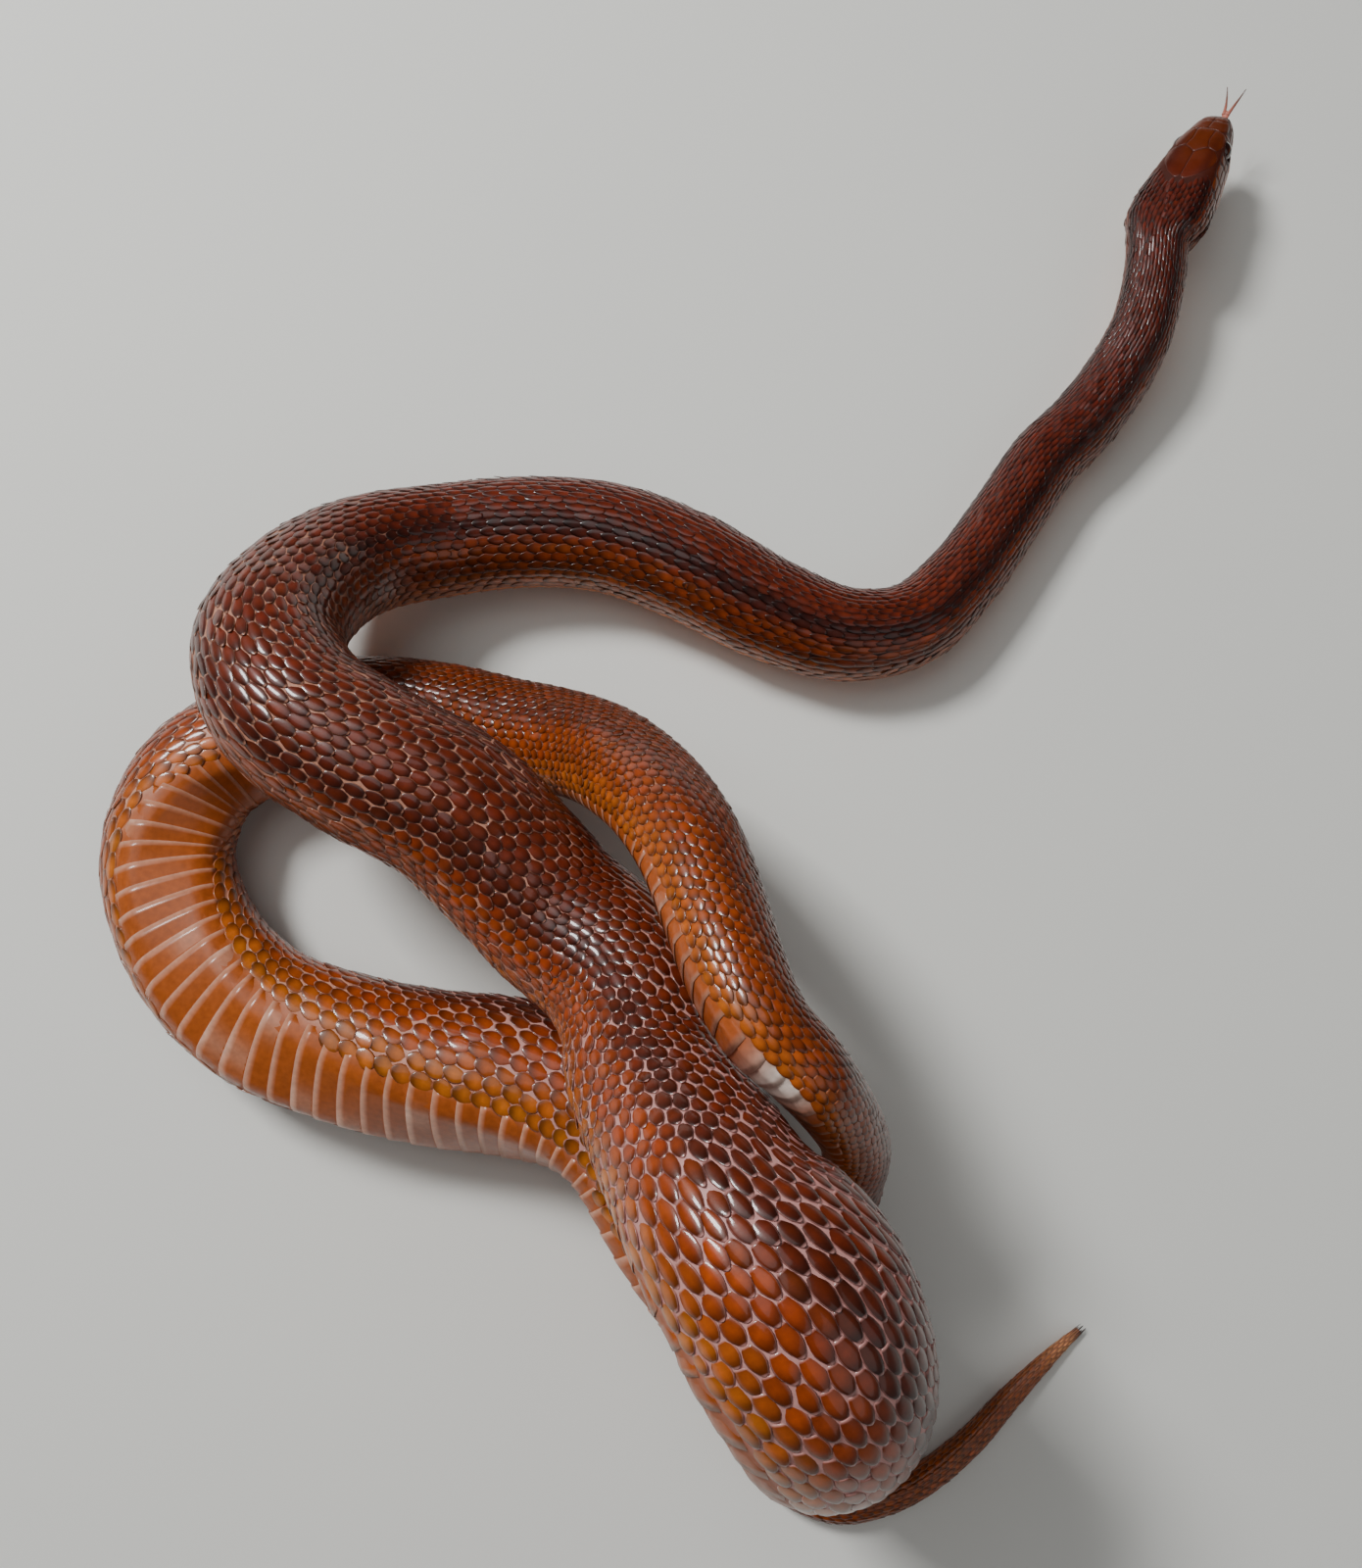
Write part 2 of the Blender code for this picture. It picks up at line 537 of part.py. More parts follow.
def inset(outline, depth):
    """Outline drawn in by a depth on every side."""
    p = np.array(outline, float)
    x, y = p.T
    turn = np.sign(np.sum(x * np.roll(y, -1) - np.roll(x, -1) * y))
    edge = np.roll(p, -1, axis=0) - p
    normal = unit(np.stack([-edge[:, 1], edge[:, 0]], axis=1)) * turn
    before = np.roll(normal, 1, axis=0)
    share = 1.0 + np.sum(normal * before, axis=1, keepdims=True)
    return p + (normal + before) * depth / np.maximum(share, 0.5)


def aim(view, spot, sign):
    """Start and direction of the line that meets a spot drawn in a view of the head."""
    a, b = spot
    if view == "top":
        return (a * sign, -b, HEAD_LENGTH), (0.0, 0.0, -1.0)
    if view == "under":
        return (a * sign, -b, -HEAD_LENGTH), (0.0, 0.0, 1.0)
    if view == "side":
        return (HEAD_LENGTH * sign, -a, b), (-sign, 0.0, 0.0)
    return (a * sign, HEAD_LENGTH, b), (0.0, -1.0, 0.0)


def shield(surface, outline, view, sign=1):
    """Rings of a low plate with bevelled edges on the head's bare surface."""
    outer = inset(outline, SHIELD_GROOVE / 2)
    top = inset(outline, SHIELD_GROOVE / 2 + SHIELD_BEVEL)
    inner = top.mean(axis=0) + (top - top.mean(axis=0)) * 0.5
    rows = ((outer, -SHIELD_SINK), (top, SHIELD_LIFT), (inner, SHIELD_LIFT + SHIELD_DOME))
    rings = []
    for corners, lift in rows:
        ring = []
        for corner in corners:
            start, direction = aim(view, corner, sign)
            hit, normal, _, _ = surface.ray_cast(start, direction)
            outward = -np.sign(normal.dot(Vector(direction)))
            ring.append(np.array(hit) + np.array(normal) * outward * lift)
        rings.append(ring)
    return rings


def lip_shields(sutures, heights, side):
    """Outlines, seen from the side, of the shields along the upper or lower lip."""
    found = []
    for k, (a, b) in enumerate(zip(sutures[:-1], sutures[1:])):
        middle = (a + b) / 2
        row = []
        for behind, height in ((a, 0.0), (middle, 0.0), (b, 0.0), (b, heights[k + 1]),
                               (middle, heights[k + 1] * 0.5 + heights[k] * 0.5 + 0.1),
                               (a, heights[k])):
            mouth = head_outline(behind)[3]
            row.append((behind, mouth + side * (MOUTH_HALF - SHIELD_GROOVE / 2 + height)))
        found.append(row)
    return found


def mirrored(half):
    """Outline that crosses the middle of the head, from its right half."""
    return list(half) + [(-x, y) for x, y in half[::-1] if x > 0.0]


def all_shields():
    """Every shield of the head: outline, view and side."""
    found = [(mirrored(FRONTAL), "top", 1), (mirrored(ROSTRAL), "front", 1),
             (mirrored(MENTAL), "front", 1)]
    lower = [LOWER_LIP_HEIGHT] * len(LOWER_LIP)
    lips = lip_shields(UPPER_LIP, UPPER_LIP_HEIGHT, 1) + lip_shields(LOWER_LIP, lower, -1)
    for sign in (1, -1):
        found += [(outline, "top", sign) for outline in TOP_SHIELDS]
        found += [(outline, "side", sign) for outline in SIDE_SHIELDS + tuple(lips)]
        found += [(outline, "under", sign) for outline in CHIN_SHIELDS]
    return found


def put_in(collection, obj):
    """Move an object from the scene into a collection."""
    bpy.context.scene.collection.objects.unlink(obj)
    collection.objects.link(obj)


def new_collection(name):
    """Empty collection for pieces that are combined with a node."""
    collection = bpy.data.collections.new(name)
    bpy.context.scene.collection.children.link(collection)
    return collection


def ball(centre, radius, name, colour, segments=16, rings=10):
    """Closed ball at a point of the scene."""
    mesh = bpy.data.meshes.new(name)
    work = bmesh.new()
    bmesh.ops.create_uvsphere(work, u_segments=segments, v_segments=rings, radius=radius)
    bmesh.ops.translate(work, verts=work.verts, vec=Vector(ground([centre])[0]))
    work.to_mesh(mesh)
    work.free()
    for polygon in mesh.polygons:
        polygon.use_smooth = True
    obj = bpy.data.objects.new(name, mesh)
    bpy.context.scene.collection.objects.link(obj)
    obj.data.materials.append(make_material(name, colour, 0.1))
    return obj


def combine(target, collection, operation):
    """Unite a collection's pieces with the target, or cut them out of it."""
    modifier = target.modifiers.new("combine", "BOOLEAN")
    modifier.operation = operation
    modifier.solver = "EXACT"
    modifier.operand_type = "COLLECTION"
    modifier.collection = collection
    bpy.context.view_layer.objects.active = target
    bpy.ops.object.modifier_apply(modifier=modifier.name)
    for obj in list(collection.objects):
        bpy.data.objects.remove(obj, do_unlink=True)
    bpy.data.collections.remove(collection)
    keep_largest(target)


def keep_largest(obj):
    """Drop all but the largest closed surface of a node."""
    work = bmesh.new()
    work.from_mesh(obj.data)
    left = set(work.verts)
    groups = []
    while left:
        group = {left.pop()}
        edge = set(group)
        while edge:
            near = {e.other_vert(v) for v in edge for e in v.link_edges}
            edge = near - group
            group |= edge
        left -= group
        groups.append(group)
    groups.sort(key=len)
    for group in groups[:-1]:
        bmesh.ops.delete(work, geom=list(group), context="VERTS")
    work.to_mesh(obj.data)
    work.free()


def make_head(spine):
    """Head with its shields, eye sockets and nostrils, and the two eyes."""
    head = Head(spine)
    points, faces = loft(head_loft(spine, head))
    spots = [tuple(head.spot(p)) for p in points]
    surface = BVHTree.FromPolygons(spots, faces)
    node = make_object("head", ground(points), faces, HEAD_COLOUR, 0.35)
    plates = new_collection("shields")
    for outline, view, sign in all_shields():
        corners, sides = loft(shield(surface, outline, view, sign))
        corners = [head.place(p) for p in corners]
        put_in(plates, make_object("shield", ground(corners), sides, HEAD_COLOUR, 0.35))
    combine(node, plates, "UNION")
    cuts = new_collection("cuts")
    for name, sign in (("eye_right", 1), ("eye_left", -1)):
        x, y, z = EYE_PLACE
        spot = head.place((x * sign, y, z))
        put_in(cuts, ball(spot, EYE_RADIUS + EYE_GAP, name + "_socket", EYE_COLOUR))
        ball(spot, EYE_RADIUS, name, EYE_COLOUR)
        x, y, z = NOSTRIL_PLACE
        spot = head.place((x * sign, y, z))
        put_in(cuts, ball(spot, NOSTRIL_RADIUS, name + "_nostril", EYE_COLOUR, 10, 6))
    combine(node, cuts, "DIFFERENCE")


def make_tongue(spine):
    """Forked tongue held out in front of the snout."""
    head = Head(spine)
    root = (0.0, TONGUE_ROOT, head_outline(0.0)[3])
    rings = []
    for step in np.linspace(0.0, 1.0, 4):
        spot = np.array(root) + (0.0, TONGUE_STEM * step, TONGUE_RISE * step ** 2)
        rings.append(oval(head, spot, TONGUE_WIDTH + TONGUE_FLARE * step, TONGUE_THICK))
    points, faces = loft(rings)
    tongue = make_object("tongue", ground(points), faces, TONGUE_COLOUR, 0.4)
    prongs = new_collection("prongs")
    for sign in (1, -1):
        rings = []
        for step in np.linspace(0.0, 1.0, 7):
            ahead = TONGUE_STEM - PRONG_OVERLAP + PRONG_LENGTH * step
            aside = sign * (PRONG_SPREAD[0] + PRONG_SPREAD[1] * step ** 1.5)
            spot = np.array(root) + (aside, ahead, TONGUE_RISE + PRONG_RISE * step ** 2)
            size = PRONG_SIZE[0] + (PRONG_SIZE[1] - PRONG_SIZE[0]) * step
            rings.append(oval(head, spot, size, size))
        points, faces = loft(rings)
        put_in(prongs, make_object("prong", ground(points), faces, TONGUE_COLOUR, 0.4))
    combine(tongue, prongs, "UNION")


def oval(head, spot, wide, high, sides=10):
    """Ring of points about a spot, upright across the head."""
    turn = np.linspace(0.0, 2 * np.pi, sides, endpoint=False)
    return [head.place(spot + (wide * np.cos(a), 0.0, high * np.sin(a))) for a in turn]


def clear_scene():
    for obj in list(bpy.data.objects):
        bpy.data.objects.remove(obj, do_unlink=True)


def body_colour(place):
    """Dark reddish brown in front, rustier towards the middle and the tail."""
    rust = smooth(place, 200.0, 420.0)
    return tuple(np.array(FRONT_COLOUR) * (1 - rust) + np.array(HIND_COLOUR) * rust)


def make_body(spine):
    """All lengths of the body and tail, each from one scute edge to another."""
    edges = scute_edges(spine)
    start = 0
    for name, end in LENGTHS:
        stop = min(range(len(edges)), key=lambda i: abs(edges[i] - end))
        body_length(spine, name, edges[start:stop + 1], body_colour(edges[start]))
        start = stop


def to_metres():
    """Scale every finished mesh from millimetres."""
    for obj in bpy.data.objects:
        obj.data.transform(Matrix.Scale(MM, 4))


def main():
    clear_scene()
    spine = Spine()
    make_head(spine)
    make_tongue(spine)
    make_body(spine)
    to_metres()


main()
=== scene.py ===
"""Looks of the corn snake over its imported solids: one skin, scales, shields, eyes, tongue.

Shapes are worked out in millimetres.  The centre line, girths and head outline are those of
the solids; the skin lies a little inside them and the scales stand on the skin.
"""

import bpy
import numpy as np
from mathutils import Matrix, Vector
from mathutils.bvhtree import BVHTree


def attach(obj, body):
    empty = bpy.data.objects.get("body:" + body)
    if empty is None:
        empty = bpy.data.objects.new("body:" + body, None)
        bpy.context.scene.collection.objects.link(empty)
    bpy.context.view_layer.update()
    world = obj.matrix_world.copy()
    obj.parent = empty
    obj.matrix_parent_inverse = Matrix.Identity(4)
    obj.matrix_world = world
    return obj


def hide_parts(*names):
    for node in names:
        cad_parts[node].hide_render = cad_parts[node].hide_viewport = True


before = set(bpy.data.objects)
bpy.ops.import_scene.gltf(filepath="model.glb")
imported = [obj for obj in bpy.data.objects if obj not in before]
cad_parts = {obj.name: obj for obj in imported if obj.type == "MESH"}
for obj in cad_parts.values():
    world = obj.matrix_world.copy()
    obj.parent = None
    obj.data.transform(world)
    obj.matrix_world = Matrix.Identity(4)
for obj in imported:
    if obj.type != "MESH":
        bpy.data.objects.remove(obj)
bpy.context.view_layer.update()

MM = 0.001
SINK = 0.6                # how far a resting length is pressed flat on the floor
EASE = 1.5                # height over which a length leaves the floor
STEPS = 24                # steps of the curve between two points of the centre line
TURN_WIDTH = 60           # steps over which the turn of the back is evened out
REST_WIDTH = 24           # steps over which the height of a resting length is evened out
CENTRE = (4.18, 4.86)     # middle of the lying animal, moved to the origin

# Centre line from the snout to the tip of the tail: x, y, height.
PATH = (
    # head and neck, held clear of the floor
    (113.6, 138.9, 13.6), (105.2, 124.0, 13.8), (99.6, 113.2, 13.4), (97.4, 101.6, 12.4),
    (94.8, 92.5, 11.0), (90.3, 84.2, 9.0), (82.5, 74.0, 7.2), (75.0, 66.6, 5.6),
    (66.6, 54.4, 5.2),
    # first bend on the floor
    (57.0, 41.1, 5.5), (46.0, 31.0, 6.5), (32.2, 28.8, 7.0), (17.1, 33.9, 8.0),
    (1.7, 42.2, 9.0), (-14.3, 48.2, 9.5), (-30.4, 49.5, 9.5),
    # left bend, climbing over the hind body
    (-47.8, 47.2, 11.8), (-62.6, 41.4, 18.3), (-70.9, 30.5, 28.0), (-73.1, 18.0, 36.3),
    (-67.3, 6.3, 40.3), (-55.2, -2.3, 40.0), (-39.8, -10.7, 37.5), (-29.8, -20.3, 34.5),
    (-21.0, -29.5, 33.0), (-11.7, -37.5, 35.0), (-6.4, -46.3, 39.5),
    # thick arch and the fold at its end
    (-4.2, -55.6, 45.0), (-1.0, -62.1, 50.6), (2.5, -68.4, 56.8), (7.1, -75.6, 62.4),
    (13.9, -84.0, 63.6), (18.5, -93.2, 60.0), (21.0, -100.6, 52.0), (21.3, -103.8, 41.4),
    (19.4, -103.0, 30.7), (15.0, -98.6, 21.8), (8.7, -91.4, 16.4), (1.5, -82.6, 14.0),
    # under the arch and round the left loop
    (-9.4, -67.2, 13.0), (-18.6, -61.0, 12.0), (-31.0, -57.5, 12.0), (-46.0, -55.5, 12.0),
    (-62.0, -52.0, 11.0), (-79.0, -45.5, 11.0), (-91.5, -33.5, 10.0), (-98.0, -18.0, 10.0),
    (-97.1, -7.9, 9.5), (-92.6, 0.6, 9.0), (-81.2, 7.6, 9.0), (-66.1, 12.0, 9.0),
    # draped over the thick body, then down to the floor
    (-48.7, 11.5, 10.5), (-32.4, 7.0, 16.2), (-21.6, 3.8, 21.5), (-14.1, 0.0, 27.5),
    (-8.6, -4.9, 34.5), (-3.0, -11.9, 43.0), (1.6, -20.6, 50.0), (4.8, -30.0, 55.0),
    (8.0, -39.3, 59.5), (12.4, -47.8, 62.6), (18.4, -53.9, 61.2), (24.0, -60.3, 52.2),
    (28.6, -67.4, 38.6), (29.6, -74.8, 24.0), (29.8, -82.6, 12.6), (31.0, -91.0, 7.0),
    # tail round the foot of the fold
    (31.0, -101.6, 4.5), (26.6, -110.4, 3.5), (19.6, -115.9, 3.5), (15.2, -121.9, 3.0),
    (18.8, -129.4, 3.0), (28.5, -134.0, 2.6), (40.5, -131.8, 2.4), (52.0, -124.6, 2.0),
    (62.0, -115.2, 1.5), (70.0, -108.2, 1.0), (76.1, -103.5, 0.6),
)

# Thickness of the body at distances from the snout.
GIRTH = (
    (36, 12.4), (45, 12.7), (54, 13.4), (66, 14.0), (82, 14.7), (99, 14.9), (115, 15.6),
    (130, 17.2), (145, 19.2), (162, 21.0), (180, 22.2), (200, 22.2), (220, 22.4), (245, 23.2),
    (262, 24.5), (278, 26.6), (292, 28.0), (320, 28.6), (364, 28.1), (387, 28.9),
    (402, 29.5), (413, 31.0), (421, 34.6), (431, 37.0), (442, 35.8), (456, 33.8), (468, 33.4),
    (492, 32.8), (522, 31.0), (562, 28.8), (614, 25.8), (641, 24.2), (664, 23.0), (698, 22.0),
    (727, 20.7), (748, 19.9), (772, 19.0), (783, 18.3), (794, 17.1), (804, 15.1), (812, 13.8),
    (824, 12.7), (840, 12.0), (872, 11.2), (895, 10.2), (915, 8.8), (932, 7.4), (948, 6.2),
    (965, 5.3), (978, 4.3), (988, 3.0), (996, 1.7), (1001, 1.0),
)

# Which way the back faces at distances from the snout.
BACK = (
    (0, (-0.37, 0.21, 0.90)), (30, (-0.36, 0.18, 0.91)), (50, (-0.31, 0.15, 0.94)),
    (110, (-0.38, 0.33, 0.87)),
    (145, (-0.10, 0.60, 0.79)), (195, (0.24, 0.60, 0.77)), (229, (-0.07, 0.64, 0.77)),
    (262, (-0.20, 0.13, 0.96)), (280, (0.0, 0.0, 1.0)), (307, (0.20, 0.37, 0.90)),
    (352, (0.43, 0.43, 0.79)), (400, (0.71, 0.41, 0.57)), (425, (0.80, 0.47, 0.35)),
    (455, (0.84, 0.54, 0.0)), (492, (0.83, 0.55, 0.1)),
    (522, (0.75, 0.66, -0.03)), (545, (0.21, 0.93, -0.31)), (570, (0.17, 0.75, -0.64)),
    (596, (0.22, 0.31, -0.93)), (620, (-0.05, -0.05, -1.0)), (640, (-0.54, 0.10, -0.84)),
    (655, (-0.53, 0.69, -0.50)), (672, (-0.29, 0.94, -0.19)), (686, (-0.02, 0.99, 0.16)),
    (700, (0.10, 0.89, 0.45)), (720, (0.05, 0.90, 0.43)), (745, (0.42, 0.86, 0.29)),
    (775, (0.93, 0.38, 0.03)), (800, (0.92, 0.34, -0.21)), (815, (0.59, 0.76, -0.27)),
    (835, (0.71, 0.70, -0.11)), (858, (0.99, 0.0, 0.10)),
    (885, (0.40, 0.0, 0.90)), (915, (0.0, 0.0, 1.0)), (1000, (0.0, 0.0, 1.0)),
)

# Lengths of the body, and the distance from the snout where the last one ends.
LENGTHS = (
    "neck", "fore_body_1", "fore_body_2", "fore_body_3", "left_bend", "mid_body_1", "mid_body_2",
    "arch_rise", "arch_fold", "arch_return", "mid_body_3", "mid_body_4", "hind_loop",
    "hind_body_1", "hind_body_2", "hind_body_3", "tail_base", "tail_middle", "tail_end",
)
TAIL_END = 997.0

# Cross-section, in parts of the radius.
BELLY_FLAT = 0.87         # depth of the flat belly below the centre
BELLY_ROUND = 0.03        # how much the belly still bulges
SCUTE_EDGE = 136.0        # angle from the back at which a scute meets the flank
BACK_COLUMNS = 12         # points across the back, and the angles of those across the belly
BELLY_ANGLES = (150.0, 180.0, 210.0)
SCUTE_PITCH = (1.5, 0.185)   # length of a scute: at no girth, and added per radius

HEAD_LENGTH = 36.0        # snout to the face that meets the neck
HEAD_RADIUS = 6.0         # stands for the head where a length goes by the radius
NECK_START = 27.0         # where the head's outline begins to turn into the neck's

# Head outline at distances behind the snout: half width, crown, chin, height of the mouth.
HEAD_FORM = (
    (0.0, 1.7, 1.2, -1.7, -1.1), (0.5, 2.6, 2.1, -2.1, -1.15), (1.4, 3.3, 2.9, -2.6, -1.2),
    (3.0, 4.0, 3.7, -3.2, -1.3), (5.0, 4.6, 4.3, -3.7, -1.5), (7.0, 5.2, 4.9, -4.0, -1.7),
    (9.0, 5.9, 5.2, -4.2, -1.9), (11.0, 6.4, 5.4, -4.4, -2.0), (14.0, 6.9, 5.5, -4.7, -1.9),
    (18.0, 7.7, 5.7, -5.0, -1.5), (22.0, 8.3, 5.8, -5.2, -1.0), (25.0, 8.5, 5.8, -5.3, -0.7),
    (28.0, 8.3, 5.8, -5.3, -0.6), (31.0, 7.4, 5.8, -5.3, -0.6), (36.0, 6.2, 5.8, -5.3, -0.6),
)
# Upper half of the head's section, crown to cheek: share of the half width and how it changes
# behind the eyes, share of the crown and how it changes, angle from the back on the neck.
CROWN_SECTION = (
    (0.0, 0.0, 1.0, 0.0, 0), (0.30, 0.0, 0.985, -0.01, 18), (0.56, 0.0, 0.94, -0.03, 36),
    (0.79, -0.03, 0.80, -0.03, 52), (0.89, 0.0, 0.56, 0.0, 66), (0.95, 0.0, 0.30, 0.0, 78),
    (0.99, 0.0, 0.0, 0.0, 90),
)
# Lower half, jaw to chin: shares of the half width, the chin and the mouth, angle on the neck.
CHIN_SECTION = (
    (0.82, 0.62, 0.3, 132), (0.62, 0.88, 0.0, 146), (0.32, 0.98, 0.0, 163), (0.0, 1.0, 0.0, 180),
)
LIP_ANGLES = (100, 104, 108, 112, 118)   # angles on the neck of the points about the mouth
HEAD_ANGLES = (*(row[-1] for row in CROWN_SECTION), *LIP_ANGLES,
               *(row[-1] for row in CHIN_SECTION))
ROUNDING = (12.0, 22.0)   # where the section changes behind the eyes
MOUTH_CORNER = 23.5       # where the line of the mouth ends
MOUTH_DEPTH = 0.13        # depth of the mouth line, in parts of the half width
MOUTH_HALF = 0.17         # half the width of the mouth line
MOUTH_FADE = 3.0          # length over which the mouth line runs out
LIP_HEIGHT = (0.5, 0.6)   # full width above and below the mouth line

# Places on the head: to the side, ahead of the snout, up.
EYE_RADIUS = 2.1
EYE_PLACE = (4.0, -9.0, 2.0)
EYE_OPENING = 1.75        # radius of the eye's opening
EYE_RIM = (0.16, 0.25, 0.28)   # low rim round it: height, distance from the edge, width
SOCKET_DEPTH = 1.1
NOSTRIL_PLACE = (3.95, -2.9, 1.35)
NOSTRIL_DEPTH = 0.6

# Head shields: low plates with a groove between them.
SHIELD_GROOVE = 0.24
# Rings from the edge of a shield to its middle: share of its size, height.
SHIELD_PROFILE = (
    (1.0, -0.12), (1.0, 0.0), (0.98, 0.035), (0.93, 0.06), (0.82, 0.08), (0.6, 0.09),
    (0.3, 0.10), (0.12, 0.10), (0.0, 0.10),
)
# Shields of one side, as corners in a view of the head: from above and below they are
# (to the side, behind the snout), from the side (behind the snout, up).
TOP_SHIELDS = (
    ((0.0, 1.1), (2.3, 1.5), (2.9, 2.7), (2.2, 3.3), (0.0, 3.2)),
    ((0.0, 3.2), (2.2, 3.3), (2.9, 2.7), (3.7, 3.9), (4.0, 5.4), (3.2, 6.5), (1.9, 6.3),
     (0.0, 6.0)),
    ((1.9, 6.3), (3.2, 6.5), (4.1, 6.8), (4.9, 8.2), (4.95, 10.2), (4.3, 11.9), (2.4, 11.4),
     (1.7, 9.2)),
    ((0.0, 12.9), (1.3, 11.9), (2.4, 11.4), (4.3, 11.9), (5.3, 13.2), (5.0, 15.6), (3.0, 18.6),
     (0.9, 20.0), (0.0, 19.4)),
)
FRONTAL = ((0.0, 6.0), (1.9, 6.3), (1.7, 9.2), (2.4, 11.4), (1.3, 11.9), (0.0, 12.9))
SIDE_SHIELDS = (
    ((0.8, 0.0), (2.8, 0.0), (4.4, 0.1), (4.2, 2.0), (2.9, 2.5), (1.5, 2.0)),
    ((4.5, 0.1), (5.9, 0.0), (5.8, 1.8), (4.3, 2.0)),
    ((6.0, 0.3), (6.8, 0.6), (6.6, 2.2), (7.0, 3.8), (6.3, 4.0), (5.9, 1.9)),
    ((11.3, 0.4), (12.9, 0.5), (12.8, 2.0), (11.5, 2.0)),
    ((11.5, 2.1), (12.8, 2.1), (12.9, 3.6), (11.4, 3.9), (11.1, 3.2)),
    ((13.0, 0.5), (16.6, 0.7), (16.8, 2.2), (13.0, 2.1)),
    ((13.0, 2.2), (16.7, 2.3), (16.1, 3.9), (13.5, 3.8)),
    ((16.8, 0.6), (19.8, 0.8), (20.4, 1.7), (19.4, 2.4), (17.0, 2.3)),
    ((17.0, 2.4), (19.4, 2.5), (19.2, 3.9), (16.5, 3.9)),
)
ROSTRAL = ((0.0, 2.2), (1.3, 1.7), (2.3, 0.4), (2.3, -0.9), (0.7, -0.95), (0.0, -0.75))
MENTAL = ((0.0, -1.35), (1.5, -1.35), (1.0, -2.1), (0.0, -2.35))
UPPER_LIP = (0.75, 3.0, 4.9, 6.8, 8.8, 11.0, 14.0, 17.4, 21.0)
UPPER_LIP_HEIGHT = (0.95, 1.1, 1.35, 1.3, 1.5, 2.0, 2.2, 2.0, 1.5)
LOWER_LIP = (0.9, 3.0, 4.6, 6.4, 8.4, 10.8, 13.6, 16.6, 19.4, 21.8)
LOWER_LIP_HEIGHT = 1.15
CHIN_SHIELDS = (
    ((0.0, 3.2), (1.7, 3.4), (1.9, 5.4), (1.5, 7.4), (0.0, 7.8)),
    ((0.0, 7.8), (1.5, 7.4), (1.9, 9.6), (1.2, 12.2), (0.0, 12.4)),
)

TONGUE_BASE = -1.2        # where the tongue starts, inside the mouth
TONGUE_ROOT = 0.3         # clear of the snout
TONGUE_STEM = 3.0
TONGUE_THICK = 0.36
TONGUE_WIDTH = 0.55
TONGUE_FLARE = 0.25       # added to the width where the tongue forks
TONGUE_RISE = 0.5         # rise of the stem's end
PRONG_LENGTH = 5.5
PRONG_OVERLAP = 0.8       # length of a prong inside the stem
PRONG_SPREAD = (0.45, 1.5)   # sideways: at the fork, and added at the tip
PRONG_RISE = 1.6
PRONG_SIZE = (0.30, 0.10)    # half thickness: what it loses from the fork on, and at the tip

# Skin, scales and belly scutes.
VENT = 812.0              # distance of the vent from the snout
LIP_REACH = 0.05          # how far the shields of the lips reach into the mouth line
SKIN_FLOOR = 0.25         # least height above the floor
SCALE_FLOOR = 0.12
SCUTE_FLOOR = 0.02
SKIN_RING = 1.7           # between two rings of the body's skin
HEAD_RINGS = 128
HEAD_SPLIT = 8            # columns of the head's skin between two of its angles
JOIN = 3                  # columns of the head's skin to one of the body's
STRIP = 100.0             # length of body in one strip of the unwrap
STRIPS = 10
MARGIN = 0.02             # clear at the edges of a strip
PATCH = 0.0015            # width of one scale in the unwrap
COAT_PIECES = 7
ROWS_AT = (8, 36, 120, 200, 280, 380, 415, 470, 520, 620, 700, 760, 820, 880, 930, 970, 997)
ROWS = (33, 33, 31, 29, 29, 30, 34, 34, 30, 27, 31, 31, 27, 18, 14, 12, 8)
MOST_ROWS = 30            # to each side of the middle of the back, before those past the belly go
CLOSE_AT = (36, 60, 240, 300, 380, 415, 470, 520, 620, 700, 860, 900, 997)
CLOSE = (0.85, 0.85, 0.90, 0.80, 0.76, 0.64, 0.64, 0.78, 0.95, 0.68, 0.66, 0.9, 0.9)
CROWN_AT = (8.0, 20.0, 36.0)   # length of a scale behind the shields of the head
CROWN = (1.15, 1.6, 2.5)
WIDEN = 0.15              # how much broader the rows beside the belly are
TILT = 0.05               # uneven lie of single scales
# Size of a scale in parts of its cell.
COVER_AT = (8, 40, 150, 240, 290, 380, 420, 500, 560, 640, 700, 815, 900, 997)
COVER_LENGTH = (1.5, 1.6, 1.5, 1.25, 1.14, 1.1, 1.04, 1.05, 1.15, 1.15, 1.3, 1.25, 1.35, 1.4)
COVER_WIDTH = (0.88, 0.86, 0.88, 0.93, 0.92, 0.92, 0.90, 0.90, 0.93, 0.92, 0.98, 0.98, 0.95,
               0.95)
# How much of the skin's colour the edge of a scale has.
RIM_AT = (150, 230, 280, 360, 480, 560, 660, 700, 815, 900, 997)
RIM = (0.0, 0.2, 0.8, 0.9, 0.9, 0.7, 0.9, 0.5, 0.5, 0.25, 0.1)
CHIN_END = 26.0           # behind here the belly has scutes
# Where the scales begin behind the shields, at angles from the back.
START_ANGLES = (0, 20, 40, 55, 75, 95, 103, 110, 118, 128, 140, 160, 180)
START_PLACES = (19.9, 19.4, 16.9, 17.7, 19.6, 20.6, 23.4, 23.4, 21.6, 13.4, 11.6, 12.4, 12.8)
SCUTE_SPAN = (130.0, 230.0)      # angles that a belly scute reaches over
PAIR_SPAN = ((130.0, 179.2), (180.8, 230.0))   # and the two of a pair under the tail
THROAT_PITCH = 2.3        # length of a scute under the head
SEED = 7

